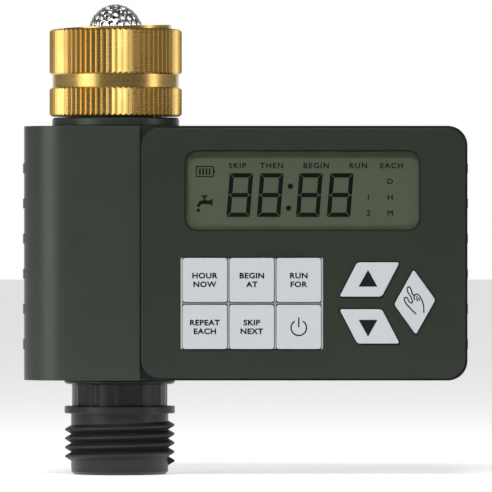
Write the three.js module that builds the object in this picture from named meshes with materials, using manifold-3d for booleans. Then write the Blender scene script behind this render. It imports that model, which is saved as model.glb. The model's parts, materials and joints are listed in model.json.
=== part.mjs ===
// Drip irrigation timer: a battery powered hose-tap timer with a motorised ball valve.
// Millimetres, +Z up. The origin is the centre of the inlet washer's sealing face, on the inlet axis.
// +X runs from the inlet towards the control panel, and the panel faces -Y.

import * as THREE from 'three';
import { mergeVertices } from 'three/addons/utils/BufferGeometryUtils.js';
import Module from 'manifold-3d';

const wasm = await Module();
wasm.setup();

// ---------------------------------------------------------------- driving sizes

const GAP = 0.3;        // clearance kept between separate pieces that seat on each other
const SIDES = 20;       // sides of a full turn on the larger rounds
const SMALL_SIDES = 10; // sides of a full turn on pins, screws and posts

const nut = {
  radius: 16.3, grooveRadius: 15.6, teeth: 48, toothDepth: 0.45,
  above: 10.5, below: 11.0,                  // reach above and below the washer face
  grooveTop: -0.7, grooveBottom: -3.85,
  threadMajor: 13.6, threadMinor: 12.3, pitch: 2.209, turns: 4,
  shoulder: 2.6, skirtWall: 2.3,
};
const washer = { outer: 12.0, inner: 7.1, thickness: 3.0, rebate: 0.8 };
const filter = {
  radius: 6.8, wall: 0.5, domeCentre: 10.1, brim: 9.2, brimThickness: 0.5,
  holeRadius: 0.8, holesRound: 7, rows: [-5.5, -2.5],
};
const tailpiece = { flange: 12.0, flangeThickness: 2.0, tube: 9.8, bore: 7.0, engagement: 7.0 };
const collar = { inset: 0.65, thickness: 1.9, spigot: 11.7 };   // inset from the nut's edge

const housing = {
  width: 108.7, height: 62.3, depth: 38.0, wall: 2.4,
  inletInset: 22.4,                          // left side to the inlet axis
  columnRound: 11.5, panelRound: 4.85, columnCorner: 0.8, endRound: 1.6,
  split: -4.0,                               // parting plane between the shells
};
const nub = { count: 6, pitch: 8.63, height: 2.5, proud: 0.28, wrap: 3.2, centreDrop: 31.9, reach: 15.5 };
const bezel = { left: 6.5, inset: 0.65, round: 4.6, proud: 1.0, thickness: 2.2 };
const ledge = { thickness: 1.8, width: 3.0 };
const screw = { shank: 1.25, head: 2.3, headHeight: 1.6, boss: 2.3, sink: 3.0, bite: 7 };

const window_ = {
  width: 56.7, height: 18.9, round: 2.6, lip: 1.2, lipDepth: 0.7, thickness: 1.0, fromLeft: 39.5, drop: 15.9,
};
const display = { thickness: 1.9, overlap: 0.9, frameWall: 1.0, flange: 0.5 };
const key = {
  width: 10.9, height: 10.8, pitch: 11.46, round: 0.65, thickness: 1.4, proud: 0.7, travel: 0.8, stem: 1.6,
};
const keypad = { fromLeft: 27.07, drop: 43.43, columns: 3, rows: 2, thickness: 1.5, margin: 1.2 };
const arrowKey = {
  width: 10.3, height: 8.4, lean: 4.35, fromLeft: 55.8, drop: 43.3, spacing: 11.45, round: 0.6,
};
const manualKey = {
  halfWidth: 5.05, halfHeight: 8.1, skewX: 0.28, skewZ: 0.58, fromLeft: 66.85, drop: 43.1, round: 0.6,
};
const board = { thickness: 1.6, left: 17.0, inset: 0.5 };

const valve = {
  outletShift: 1.0,                          // outlet axis to the right of the inlet axis
  ball: 9.5, bore: 5.5, seatGap: 0.3, ballSpace: 1.3, wall: 1.7, passage: 7.0,
  stem: 4.1, tongueHalf: 3.9, tongueThickness: 3.0, tongueDepth: 2.7, bossRadius: 7.0,
  padThickness: 2.2,
};
const oring = { depth: 1.2, width: 1.8 };
const outlet = {
  spigotWall: 2.5, flange: 13.62, flangeThickness: 0.8, neck: 11.8, neckLength: 5.4,
  collarThickness: 1.8, threadCrest: 13.5, threadRoot: 12.0, threads: 6, pitch: 2.209,
  lip: 11.95, lipLength: 1.75, chamfer: 0.6,
};

const gear = {
  module: 0.5, wheelTeeth: 36, pinionTeeth: 12, pressure: 25, slack: 0.1, backlash: 0.16, face: 2.6,
};
const drive = {
  plate: 2.0, layerGap: 0.6, cover: 2.0, coverWall: 1.2, pin: 1.5, shaft: 1.0,
  idlerLean: 2.5, pinionY: 8.2, motorWidth: 15.0, motorHeight: 20.0, motorLength: 18.0, margin: 1.9,
};

const cell = { radius: 7.25, length: 50.5, nub: 2.75, nubHeight: 1.1 };
const tray = {
  wall: 1.0, door: 1.9, overhang: 1.3, round: 2.2, sideWall: 3.0, seal: 0.8, spring: 1.6, strip: 0.4,
};
const well = { wall: 1.4 };

// ---------------------------------------------------------------- derived places

const bottomOfNut = -nut.below;
const left = -housing.inletInset;
const right = left + housing.width;
const top = bottomOfNut - GAP - collar.thickness - GAP;
const bottom = top - housing.height;
const front = -housing.depth / 2;
const back = housing.depth / 2;

const collarRadius = nut.radius - collar.inset;

const bezelFront = front - bezel.proud;
const bezelBack = bezelFront + bezel.thickness;
const ledgeFront = bezelBack + GAP;
const ledgeBack = ledgeFront + ledge.thickness;
const bezelRight = right - bezel.inset;
const bezelTop = top - bezel.inset;
const bezelBottom = bottom + bezel.inset;

const windowX = bezel.left + window_.fromLeft;
const windowZ = top - window_.drop;
const paneFront = bezelFront + window_.lipDepth + GAP;
const glassFront = paneFront + window_.thickness + GAP;
const glassBack = glassFront + display.thickness;
const frameBack = glassBack + GAP + display.flange;
const boardFront = frameBack + GAP;
const boardBack = boardFront + board.thickness;

const keyFront = bezelFront - key.proud;
const keyBack = keyFront + key.thickness;
const matFront = keyBack + key.travel + GAP;
const matSheetFront = bezelBack + GAP;
const matBack = matSheetFront + keypad.thickness;
const keyTip = boardFront - GAP - key.travel;

const washerBottom = -washer.thickness;
const flangeTop = washerBottom - GAP;
const flangeBottom = flangeTop - tailpiece.flangeThickness;
const shoulderTop = flangeBottom - GAP;
const shoulderBottom = shoulderTop - nut.shoulder;

const ballX = valve.outletShift;
const ballZ = (top + bottom) / 2 + 0.65;
const chamberRadius = valve.ball + valve.ballSpace;
const valveRadius = chamberRadius + valve.wall + valve.outletShift / 2;
const valveX = valve.outletShift / 2;
const seatLength = valve.ball + 1.2;
const cavityTop = ballZ + seatLength + GAP;
const socketBottom = cavityTop + 4.0;
const inletScrewDrop = 5.1;                  // the screw by the inlet stands clear above the valve body
const valveTop = Math.min(
  socketBottom + tailpiece.engagement, top - inletScrewDrop - screw.boss - 1.1);
const spigotTop = ballZ - seatLength - GAP;
const valveBottom = spigotTop - 11.0;
const outletSpigot = chamberRadius - GAP;
const outletBore = outletSpigot - outlet.spigotWall;
const flatX = ballX + chamberRadius + valve.wall;

const padX = [flatX, flatX + valve.padThickness];
const plateX = [padX[1] + GAP, padX[1] + GAP + drive.plate];
const layerA = [plateX[1] + drive.layerGap, plateX[1] + drive.layerGap + gear.face];
const layerB = [layerA[1] + drive.layerGap, layerA[1] + drive.layerGap + gear.face];
const coverX = [plateX[1] + GAP, layerB[1] + drive.layerGap + GAP + drive.cover];

const wheelRadius = (gear.wheelTeeth / 2 + 1) * gear.module;
const centres = ((gear.wheelTeeth + gear.pinionTeeth) / 2) * gear.module + gear.slack;
const idler = { y: drive.idlerLean, z: ballZ + Math.sqrt(centres ** 2 - drive.idlerLean ** 2) };
const pinion = { y: drive.pinionY, z: idler.z - Math.sqrt(centres ** 2 - (drive.pinionY - idler.y) ** 2) };
const coverBox = {
  y0: -wheelRadius - drive.margin, y1: idler.y + wheelRadius + drive.margin,
  z0: ballZ - wheelRadius - drive.margin - 2.2, z1: idler.z + wheelRadius + drive.margin,
};

const trayWidth = 2 * (2 * cell.radius + 2 * GAP) + 3 * tray.wall;
const trayHeight = cell.length + tray.spring + 2 * tray.strip + 4 * GAP + 2 * tray.wall;
const wellRight = right - tray.sideWall;
const wellLeft = wellRight - trayWidth - 2 * GAP;
const wellZ = (top + bottom) / 2;
const leadRoom = 2.5;                        // for the leads, between the motor and the battery well
const motorX = [
  coverX[1] + GAP, Math.min(coverX[1] + GAP + drive.motorLength, wellLeft - well.wall - leadRoom),
];
const trayX = (wellLeft + wellRight) / 2;
const doorFront = back - tray.door;
const sealBack = doorFront - GAP;
const sealFront = sealBack - tray.seal;
const stepY = sealFront - GAP;
const cellY = doorFront - GAP - cell.radius;
const trayFront = cellY - cell.radius;
const wellFront = trayFront - GAP;

// Gearbox screws: the two lower ones reach through the cover and plate into the valve body.
const postInset = 2.3;
const lowerCoverScrews = [
  [coverBox.y0 + postInset, coverBox.z0 + postInset],
  [coverBox.y1 - postInset, coverBox.z0 + postInset],
];
const coverScrews = [...lowerCoverScrews, [coverBox.y0 + postInset, coverBox.z1 - postInset]];

// Housing screws: two behind the column, one by the inlet, one below the keypad.
const columnScrewX = valveX - valveRadius - screw.boss - 1.4;
const screwPlaces = [
  [columnScrewX, top - 5.5],
  [columnScrewX, bottom + 5.5],
  [tailpiece.tube + screw.boss + 0.5, top - inletScrewDrop],
  [wellLeft - well.wall - screw.boss - 0.4, bottom + 4.6],
];

// ---------------------------------------------------------------- finishes

const finish = (color, roughness, metalness = 0) =>
  new THREE.MeshStandardMaterial({ color, roughness, metalness });
const green = finish(0x384036, 0.45);
const panelGreen = finish(0x323a32, 0.4);
const brass = finish(0xc9a54a, 0.28, 1);
const steel = finish(0xb8bcc0, 0.3, 1);
const black = finish(0x1c1d1e, 0.4);
const rubber = finish(0x2a2a2c, 0.8);
const keyGrey = finish(0xc8d0d4, 0.5);
const webGrey = finish(0x8d9498, 0.7);
const white = finish(0xe8e6de, 0.35);
const gearWhite = finish(0xdedcd2, 0.45);
const glassGreen = finish(0x6e7860, 0.15);
const clear = finish(0xdfe6df, 0.05);
const boardGreen = finish(0x23603a, 0.5);
const cellBlue = finish(0x3b5f7d, 0.4, 0.4);

// ---------------------------------------------------------------- solids

/** A closed three.js geometry as a solid, turned face out if its faces point in. */
function solid(geometry) {
  const bare = geometry.clone();
  bare.deleteAttribute('normal');
  bare.deleteAttribute('uv');
  const welded = mergeVertices(bare, 1e-4);
  const vertProperties = new Float32Array(welded.attributes.position.array);
  const triVerts = new Uint32Array(welded.index.array);
  if (volume(vertProperties, triVerts) < 0) {
    for (let i = 0; i < triVerts.length; i += 3) {
      [triVerts[i], triVerts[i + 1]] = [triVerts[i + 1], triVerts[i]];
    }
  }
  return new wasm.Manifold(new wasm.Mesh({ numProp: 3, vertProperties, triVerts }));
}

function volume(vertices, triangles) {
  const corner = (i) => new THREE.Vector3().fromArray(vertices, 3 * triangles[i]);
  let total = 0;
  for (let i = 0; i < triangles.length; i += 3) {
    total += corner(i).dot(corner(i + 1).cross(corner(i + 2)));
  }
  return total;
}

const join = (...solids) => solids.reduce((sum, next) => sum.add(next));
const cut = (first, ...others) => others.reduce((rest, next) => rest.subtract(next), first);

function block(x0, x1, y0, y1, z0, z1) {
  const box = new THREE.BoxGeometry(x1 - x0, y1 - y0, z1 - z0);
  return solid(box.translate((x0 + x1) / 2, (y0 + y1) / 2, (z0 + z1) / 2));
}

/** A round bar along an axis, from one end to the other, with the other two coordinates in X, Y, Z order. */
function bar(axis, radius, from, to, a, b, sides = SMALL_SIDES) {
  const rod = new THREE.CylinderGeometry(radius, radius, to - from, sides);
  const middle = (from + to) / 2;
  if (axis === 'x') rod.rotateZ(-Math.PI / 2).translate(middle, a, b);
  if (axis === 'y') rod.translate(a, middle, b);
  if (axis === 'z') rod.rotateX(Math.PI / 2).translate(a, b, middle);
  return solid(rod);
}

/** A solid of revolution about Z from a closed outline of [radius, z] points. */
function turned(outline, x = 0, sides = SIDES) {
  const points = [...outline, outline[0]].map(([r, z]) => new THREE.Vector2(r, z));
  return solid(new THREE.LatheGeometry(points, sides).rotateX(Math.PI / 2).translate(x, 0, 0));
}

function extruded(shape, depth, curveSegments = 2) {
  return new THREE.ExtrudeGeometry(shape, { depth, bevelEnabled: false, curveSegments });
}

/** Prisms of an outline: along Z from (x, y), along Y from (x, z), along X from (y, z). */
const prismZ = (shape, z0, z1) => solid(extruded(shape, z1 - z0).translate(0, 0, z0));
const prismY = (shape, y0, y1) => solid(extruded(shape, y1 - y0).rotateX(Math.PI / 2).translate(0, y1, 0));
const turnToX = new THREE.Matrix4().makeBasis(
  new THREE.Vector3(0, 1, 0), new THREE.Vector3(0, 0, 1), new THREE.Vector3(1, 0, 0));
const prismX = (shape, x0, x1) => solid(extruded(shape, x1 - x0).applyMatrix4(turnToX).translate(x0, 0, 0));

/** A closed outline through corner points, each corner rounded by its own radius. */
function roundedOutline(corners, radii) {
  const shape = new THREE.Shape();
  corners.forEach(([x, y], i) => {
    const here = new THREE.Vector2(x, y);
    const radius = Array.isArray(radii) ? radii[i] : radii;
    const before = new THREE.Vector2(...corners.at(i - 1)).sub(here);
    const after = new THREE.Vector2(...corners[(i + 1) % corners.length]).sub(here);
    const half = Math.acos(before.clone().normalize().dot(after.clone().normalize())) / 2;
    const reach = Math.min(radius / Math.tan(half), 0.49 * before.length(), 0.49 * after.length());
    const enter = before.setLength(reach).add(here);
    const leave = after.setLength(reach).add(here);
    if (i === 0) shape.moveTo(enter.x, enter.y);
    else shape.lineTo(enter.x, enter.y);
    const inward = new THREE.Vector2().addVectors(enter, leave).multiplyScalar(0.5).sub(here);
    const centre = inward.setLength(Math.hypot(reach, reach * Math.tan(half))).add(here);
    const start = Math.atan2(enter.y - centre.y, enter.x - centre.x);
    const end = Math.atan2(leave.y - centre.y, leave.x - centre.x);
    shape.absarc(centre.x, centre.y, reach * Math.tan(half), start, end, false);
  });
  shape.closePath();
  return shape;
}

/** A rectangle with corner radii in the order low-low, high-low, high-high, low-high. */
function rectangle(x0, x1, y0, y1, radii = 0.001) {
  return roundedOutline([[x0, y0], [x1, y0], [x1, y1], [x0, y1]], radii);
}

const object = new THREE.Group();

/** Adds a solid to the object as one named piece, at a place and turn. */
function piece(name, shape, material, place = [0, 0, 0], parent = object) {
  const { vertProperties, triVerts, numProp } = shape.getMesh();
  const positions = new Float32Array((vertProperties.length / numProp) * 3);
  for (let i = 0; i < positions.length / 3; i += 1) {
    positions.set(vertProperties.subarray(i * numProp, i * numProp + 3), i * 3);
  }
  const geometry = new THREE.BufferGeometry();
  geometry.setAttribute('position', new THREE.BufferAttribute(positions, 3));
  geometry.setIndex(new THREE.BufferAttribute(new Uint32Array(triVerts), 1));
  geometry.computeVertexNormals();
  const mesh = new THREE.Mesh(geometry, material);
  mesh.name = name;
  mesh.position.set(...place);
  parent.add(mesh);
  return mesh;
}

// ---------------------------------------------------------------- inlet

/** A knurled ring: straight V teeth round a cylinder. */
function knurl(z0, z1) {
  const points = [];
  for (let i = 0; i < 2 * nut.teeth; i += 1) {
    const radius = nut.radius - (i % 2) * nut.toothDepth;
    const angle = (i * Math.PI) / nut.teeth;
    points.push(new THREE.Vector2(radius * Math.cos(angle), radius * Math.sin(angle)));
  }
  return prismZ(new THREE.Shape(points), z0, z1);
}

function inletNut() {
  const rings = join(
    knurl(nut.grooveTop, nut.above),
    bar('z', nut.grooveRadius, -nut.below, nut.above, 0, 0, SIDES),
    knurl(-nut.below, nut.grooveBottom));
  const thread = [];
  for (let i = 0; i < nut.turns; i += 1) {
    const crest = nut.above - 0.6 - i * nut.pitch;
    thread.push([nut.threadMajor, crest], [nut.threadMinor, crest - nut.pitch / 2]);
  }
  const bore = turned([
    [0, nut.above + 1], [nut.threadMajor, nut.above + 1], ...thread,
    [nut.threadMinor, shoulderTop], [0, shoulderTop],
  ]);
  const swivelHole = bar('z', tailpiece.tube + 0.4, shoulderBottom - 1, shoulderTop + 1, 0, 0, SIDES);
  const skirt = bar('z', nut.grooveRadius - nut.skirtWall, -nut.below - 1, shoulderBottom, 0, 0, SIDES);
  piece('inlet_nut', cut(rings, bore, swivelHole, skirt), brass);
}

function inletWasher() {
  const rebateRadius = filter.brim + GAP;
  const outline = [
    [washer.inner, 0], [washer.outer, 0], [washer.outer, washerBottom], [rebateRadius, washerBottom],
    [rebateRadius, washerBottom + washer.rebate], [washer.inner, washerBottom + washer.rebate],
  ];
  piece('inlet_washer', turned(outline), rubber);
}

function inletFilter() {
  const brimTop = washerBottom + filter.brimThickness;
  const inner = filter.radius - filter.wall;
  const arc = (radius, steps) => Array.from({ length: steps + 1 }, (_, i) => {
    const angle = (i * Math.PI) / (2 * steps);
    return [radius * Math.cos(angle), filter.domeCentre + radius * Math.sin(angle)];
  });
  const outline = [
    [inner, washerBottom], [filter.brim, washerBottom], [filter.brim, brimTop], [filter.radius, brimTop],
    ...arc(filter.radius, 4), ...arc(inner, 4).reverse(),
  ];
  const holes = [];
  filter.rows.forEach((height, row) => {
    for (let i = 0; i < filter.holesRound; i += 1) {
      const drill = new THREE.CylinderGeometry(filter.holeRadius, filter.holeRadius, 3, 6);
      drill.rotateZ(Math.PI / 2).translate(filter.radius, 0, 0);
      drill.rotateZ(((i + row / 2) * 2 * Math.PI) / filter.holesRound);
      holes.push(solid(drill.translate(0, 0, filter.domeCentre + height)));
    }
  });
  const shell = turned(outline, 0, 16);
  piece('inlet_filter', cut(shell, ...holes), steel);
}

/** An outline with a groove for an O-ring, whose bottom is `depth` inside the given radius. */
const grooveAt = (radius, z) => [
  [radius, z + oring.width / 2 + GAP], [radius - oring.depth, z + oring.width / 2 + GAP],
  [radius - oring.depth, z - oring.width / 2 - GAP], [radius, z - oring.width / 2 - GAP],
];

const ringOutline = (radius, z) => {
  const inner = radius - oring.depth + GAP / 2;
  const half = oring.width / 2;
  return [[inner, z], [(inner + radius) / 2, z - half], [radius, z], [(inner + radius) / 2, z + half]];
};

const tailRingZ = socketBottom + tailpiece.engagement / 2;

function inletTailpiece() {
  const end = socketBottom + GAP;
  const outline = [
    [tailpiece.bore, flangeTop], [tailpiece.flange, flangeTop], [tailpiece.flange, flangeBottom],
    [tailpiece.tube, flangeBottom], ...grooveAt(tailpiece.tube, tailRingZ),
    [tailpiece.tube, end], [tailpiece.bore, end],
  ];
  piece('inlet_tailpiece', turned(outline), black);
  piece('tailpiece_oring', turned(ringOutline(tailpiece.tube, tailRingZ)), rubber);
}

function inletCollar() {
  const under = top + GAP;
  const inner = tailpiece.tube + GAP;
  const foot = top - housing.wall + 0.5;
  const outline = [
    [inner, under + collar.thickness], [collarRadius - 0.3, under + collar.thickness],
    [collarRadius, under + collar.thickness - 0.3], [collarRadius, under], [collar.spigot, under],
    [collar.spigot, foot], [inner, foot],
  ];
  piece('inlet_collar', turned(outline), green);
}

inletNut();
inletWasher();
inletFilter();
inletTailpiece();
inletCollar();

// ---------------------------------------------------------------- valve

function valveBody() {
  const bossEnd = padX[1];
  const shell = join(
    bar('z', valveRadius, valveBottom, valveTop, valveX, 0, SIDES),
    bar('x', valve.bossRadius, ballX, bossEnd, 0, ballZ, 20),
    block(padX[0] - 0.6, padX[1], coverBox.y0, coverBox.y1, coverBox.z0, ballZ + valve.bossRadius + 1));
  const chamber = bar('z', chamberRadius, valveBottom - 1, cavityTop, ballX, 0, SIDES);
  const passage = bar('z', valve.passage, cavityTop - 1, socketBottom + 1, 0, 0, SIDES);
  const socket = bar('z', tailpiece.tube + GAP, socketBottom, valveTop + 1, 0, 0, SIDES);
  const stemBore = bar('x', valve.stem + GAP, ballX, bossEnd + 1, 0, ballZ, 20);
  const holes = lowerCoverScrews.map(([y, z]) =>
    bar('x', screw.shank + GAP, padX[0] - 1, padX[1] + 1, y, z, 8));
  piece('valve_body', cut(shell, chamber, passage, socket, stemBore, ...holes), white);
}

/** A PTFE ring whose inner face follows the ball; `side` is 1 above the ball and -1 below it. */
function seat(name, side) {
  const bowlRadius = valve.ball + valve.seatGap;
  const inner = valve.bore + GAP;
  const outer = chamberRadius - GAP;
  const rim = valve.tongueHalf + 0.8;
  const steps = 3;
  const start = Math.asin(rim / bowlRadius);
  const end = Math.acos(inner / bowlRadius);
  const bowl = Array.from({ length: steps + 1 }, (_, i) => {
    const angle = start + ((end - start) * i) / steps;
    return [bowlRadius * Math.cos(angle), ballZ + side * bowlRadius * Math.sin(angle)];
  });
  const flat = ballZ + side * seatLength;
  const outline = [[inner, flat], [outer, flat], [outer, ballZ + side * rim], ...bowl];
  piece(name, turned(outline, ballX), white);
}

function valveBall() {
  const slotEnd = valve.ball + 1;
  const ball = solid(new THREE.SphereGeometry(valve.ball, 20, 12));
  const bore = bar('y', valve.bore, -slotEnd, slotEnd, 0, 0, 20);
  const slotHalf = valve.tongueThickness / 2 + GAP;
  const slot = block(valve.ball - valve.tongueDepth - GAP, slotEnd, -slotEnd, slotEnd, -slotHalf, slotHalf);
  piece('valve_ball', cut(ball, bore, slot), steel, [ballX, 0, ballZ]);
}

const driveHub = 2.6;      // radius of the stem's end inside the output gear
const stemRingX = flatX + 0.6;

function valveStem() {
  const tongueStart = ballX + valve.ball - valve.tongueDepth;
  const shoulder = ballX + valve.ball + 0.5;
  const halfTongue = valve.tongueThickness / 2;
  const shaft = cut(
    bar('x', valve.stem, shoulder, plateX[1], 0, ballZ, 20),
    stemGroove());
  const tongue = block(tongueStart, shoulder + 0.5, -valve.tongueHalf, valve.tongueHalf,
    ballZ - halfTongue, ballZ + halfTongue);
  const end = cut(
    bar('x', driveHub, plateX[1] - 0.5, layerA[1] + GAP, 0, ballZ, 16),
    block(plateX[1], layerA[1] + 1, driveHub - 0.7, driveHub + 1, ballZ - 4, ballZ + 4));
  piece('valve_stem', join(shaft, tongue, end), brass);
  const inner = valve.stem - oring.depth + GAP / 2;
  const ring = cut(
    bar('x', valve.stem, stemRingX - oring.width / 2, stemRingX + oring.width / 2, 0, ballZ, 20),
    bar('x', inner, stemRingX - oring.width, stemRingX + oring.width, 0, ballZ, 20));
  piece('stem_oring', ring, rubber);
}

/** The ring of material taken out of the stem for its O-ring. */
function stemGroove() {
  const half = oring.width / 2 + GAP;
  return cut(
    bar('x', valve.stem + 1, stemRingX - half, stemRingX + half, 0, ballZ, 20),
    bar('x', valve.stem - oring.depth, stemRingX - half - 1, stemRingX + half + 1, 0, ballZ, 20));
}

const outletRingZ = (spigotTop + valveBottom) / 2;
const outletTop = bottom - GAP;
const neckTop = outletTop - outlet.flangeThickness;
const neckBottom = neckTop - outlet.neckLength;
const threadTop = neckBottom - outlet.collarThickness;
const lipTop = threadTop - outlet.threads * outlet.pitch;
const outletEnd = lipTop - outlet.lipLength;

function outletFitting() {
  const thread = [];
  for (let i = 0; i < outlet.threads; i += 1) {
    const z = threadTop - i * outlet.pitch;
    thread.push([outlet.threadRoot, z - 0.05], [outlet.threadCrest, z - outlet.pitch / 2]);
  }
  const outline = [
    [outletBore, spigotTop], [outletSpigot, spigotTop], ...grooveAt(outletSpigot, outletRingZ),
    [outletSpigot, outletTop], [outlet.flange, outletTop],
    [outlet.flange, neckTop + outlet.chamfer / 2], [outlet.flange - outlet.chamfer, neckTop],
    [outlet.neck, neckTop], [outlet.neck, neckBottom],
    [outlet.flange, neckBottom], [outlet.flange, threadTop],
    ...thread, [outlet.lip, lipTop], [outlet.lip, outletEnd + outlet.chamfer],
    [outlet.lip - outlet.chamfer, outletEnd], [outletBore, outletEnd],
  ];
  piece('outlet_fitting', turned(outline, ballX), black);
  piece('outlet_oring', turned(ringOutline(outletSpigot, outletRingZ), ballX), rubber);
}

valveBody();
seat('upper_seat', 1);
seat('lower_seat', -1);
valveBall();
valveStem();
outletFitting();

// ---------------------------------------------------------------- drive

/** An involute spur gear outline, its first tooth centred on the given angle. */
function gearOutline(teeth, firstTooth) {
  const pitchRadius = (teeth * gear.module) / 2;
  const pressure = THREE.MathUtils.degToRad(gear.pressure);
  const baseRadius = pitchRadius * Math.cos(pressure);
  const involute = (angle) => Math.tan(angle) - angle;
  const halfTooth = Math.PI / (2 * teeth) - gear.backlash / (2 * pitchRadius);
  const halfAt = (radius) => {
    const angle = radius > baseRadius ? Math.acos(baseRadius / radius) : 0;
    return halfTooth + involute(pressure) - involute(angle);
  };
  const root = pitchRadius - 1.25 * gear.module;
  const radii = [root, pitchRadius, pitchRadius + gear.module * 0.95];
  const points = [];
  for (let i = 0; i < teeth; i += 1) {
    const middle = firstTooth + (i * 2 * Math.PI) / teeth;
    const flank = radii.map((radius) => [radius, halfAt(Math.max(radius, baseRadius))]);
    for (const [radius, half] of flank) points.push([radius, middle - half]);
    for (const [radius, half] of flank.reverse()) points.push([radius, middle + half]);
  }
  return new THREE.Shape(points.map(([radius, angle]) =>
    new THREE.Vector2(radius * Math.cos(angle), radius * Math.sin(angle))));
}

function driveTrain() {
  const toIdler = Math.atan2(idler.z - ballZ, idler.y);
  const toPinion = Math.atan2(pinion.z - idler.z, pinion.y - idler.y);
  const wheelSpace = Math.PI / gear.wheelTeeth;
  const width = gear.face;

  const hole = cut(bar('x', driveHub + GAP, -1, width + 1, 0, 0, 16),
    block(-1, width + 1, driveHub - 0.4, driveHub + 2, -4, 4));
  const outputWheel = cut(prismX(gearOutline(gear.wheelTeeth, toIdler), 0, width), hole);
  piece('output_gear', outputWheel, gearWhite, [layerA[0], 0, ballZ]);

  const idlerHole = bar('x', drive.pin + GAP, -1, 2 * width + 2, 0, 0);
  const idlerPinion = prismX(gearOutline(gear.pinionTeeth, toIdler + Math.PI + Math.PI / gear.pinionTeeth),
    0, width + drive.layerGap);
  const idlerWheel = prismX(gearOutline(gear.wheelTeeth, toPinion + wheelSpace),
    width + drive.layerGap, 2 * width + drive.layerGap);
  const idlerPlace = [layerA[0], idler.y, idler.z];
  piece('idler_gear', cut(join(idlerPinion, idlerWheel), idlerHole), gearWhite, idlerPlace);
  piece('idler_pin', bar('x', drive.pin, plateX[0] + GAP, coverX[1] - GAP, idler.y, idler.z), steel);

  const motorPinion = cut(
    prismX(gearOutline(gear.pinionTeeth, toPinion + Math.PI), 0, width),
    bar('x', drive.shaft + GAP, -1, width + 1, 0, 0, 12));
  piece('motor_pinion', motorPinion, brass, [layerB[0], pinion.y, pinion.z]);
}

/** A small DC motor: a round can with two flats, a front boss and its shaft. */
function driveMotor() {
  const half = drive.motorWidth / 2;
  const can = bar('x', drive.motorHeight / 2, motorX[0], motorX[1], pinion.y, pinion.z, 28)
    .intersect(block(motorX[0], motorX[1], pinion.y - half, pinion.y + half, pinion.z - 20, pinion.z + 20));
  const shaft = bar('x', drive.shaft, layerB[0], motorX[0] + 1, pinion.y, pinion.z, 12);
  const rearBoss = bar('x', 3, motorX[1] - 0.5, motorX[1] + 0.8, pinion.y, pinion.z);
  piece('drive_motor', join(can, shaft, rearBoss), steel);
}

function gearboxPlate() {
  const { y0, y1, z0, z1 } = coverBox;
  const sheet = block(plateX[0], plateX[1], y0, y1, z0, z1);
  const holes = coverScrews.map(([y, z]) =>
    bar('x', screw.shank + GAP, plateX[0] - 1, plateX[1] + 1, y, z, 8));
  const stemHole = bar('x', valve.stem + GAP, plateX[0] - 1, plateX[1] + 1, 0, ballZ, 20);
  const pinHole = bar('x', drive.pin + GAP, plateX[0] - 1, plateX[1] + 1, idler.y, idler.z);
  piece('gearbox_plate', cut(sheet, ...holes, stemHole, pinHole), black);
}

function gearboxCover() {
  const { y0, y1, z0, z1 } = coverBox;
  const wall = drive.coverWall;
  const [near, far] = coverX;
  const cup = cut(
    block(near, far, y0, y1, z0, z1),
    block(near - 1, far - drive.cover, y0 + wall, y1 - wall, z0 + wall, z1 - wall));
  const posts = coverScrews.map(([y, z]) => bar('x', postInset - 0.2, near, far, y, z, 12));
  const holes = coverScrews.map(([y, z]) => bar('x', screw.shank + GAP, near - 1, far + 1, y, z, 8));
  const shaftHole = bar('x', drive.shaft + 1.2, far - drive.cover - 1, far + 1, pinion.y, pinion.z);
  const pinHole = bar('x', drive.pin + GAP, far - drive.cover - 1, far + 1, idler.y, idler.z);
  piece('gearbox_cover', cut(join(cup, ...posts), ...holes, shaftHole, pinHole), black);
}

/** A pan-head screw along X or Y: its head stands above `headFrom`, and its shank reaches down to `tip`. */
function panScrew(name, axis, headFrom, tip, a, b) {
  const headTo = headFrom + screw.headHeight;
  const head = bar(axis, screw.head - GAP, headFrom, headTo, a, b, 12);
  const shank = bar(axis, screw.shank, tip, headFrom + 0.2, a, b, 8);
  const slots = [[1.2, 0.25], [0.25, 1.2]].map(([halfA, halfB]) => {
    const depth = [headTo - 0.7, headTo + 1];
    const across = [a - halfA, a + halfA];
    const up = [b - halfB, b + halfB];
    return axis === 'x' ? block(...depth, ...across, ...up) : block(...across, ...depth, ...up);
  });
  piece(name, cut(join(head, shank), ...slots), steel);
}

/** A thin insulated lead swept along a smooth route. */
function lead(name, route, material) {
  const section = new THREE.Shape();
  section.absarc(0, 0, 0.6, 0, 2 * Math.PI, false);
  const extrudePath = new THREE.CatmullRomCurve3(route.map((point) => new THREE.Vector3(...point)));
  const settings = { steps: 9, curveSegments: 3, extrudePath, bevelEnabled: false };
  piece(name, solid(new THREE.ExtrudeGeometry(section, settings)), material);
}

driveTrain();
driveMotor();
gearboxPlate();
gearboxCover();
coverScrews.forEach(([y, z], i) => {
  const tip = i < lowerCoverScrews.length ? padX[0] + GAP : plateX[0] + GAP;
  panScrew(`gearbox_screw_${i + 1}`, 'x', coverX[1] + GAP, tip, y, z);
});

const leadEndY = boardBack + GAP + 0.6;
const leads = [['motor_lead_red', 3.2, finish(0xa02820, 0.5)], ['motor_lead_black', -3.2, black]];
leads.forEach(([name, offset, material]) => {
  const z = pinion.z + offset;
  const x = motorX[1] + GAP + 0.9;
  lead(name, [
    [x, pinion.y - 4.5, z], [x + 0.3, pinion.y - 8, z], [x + 0.1, -3, z + 0.5],
    [x - 1, -8, z + 1], [x - 3, leadEndY, z + 1],
  ], material);
});

// ---------------------------------------------------------------- display and keypad

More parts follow.
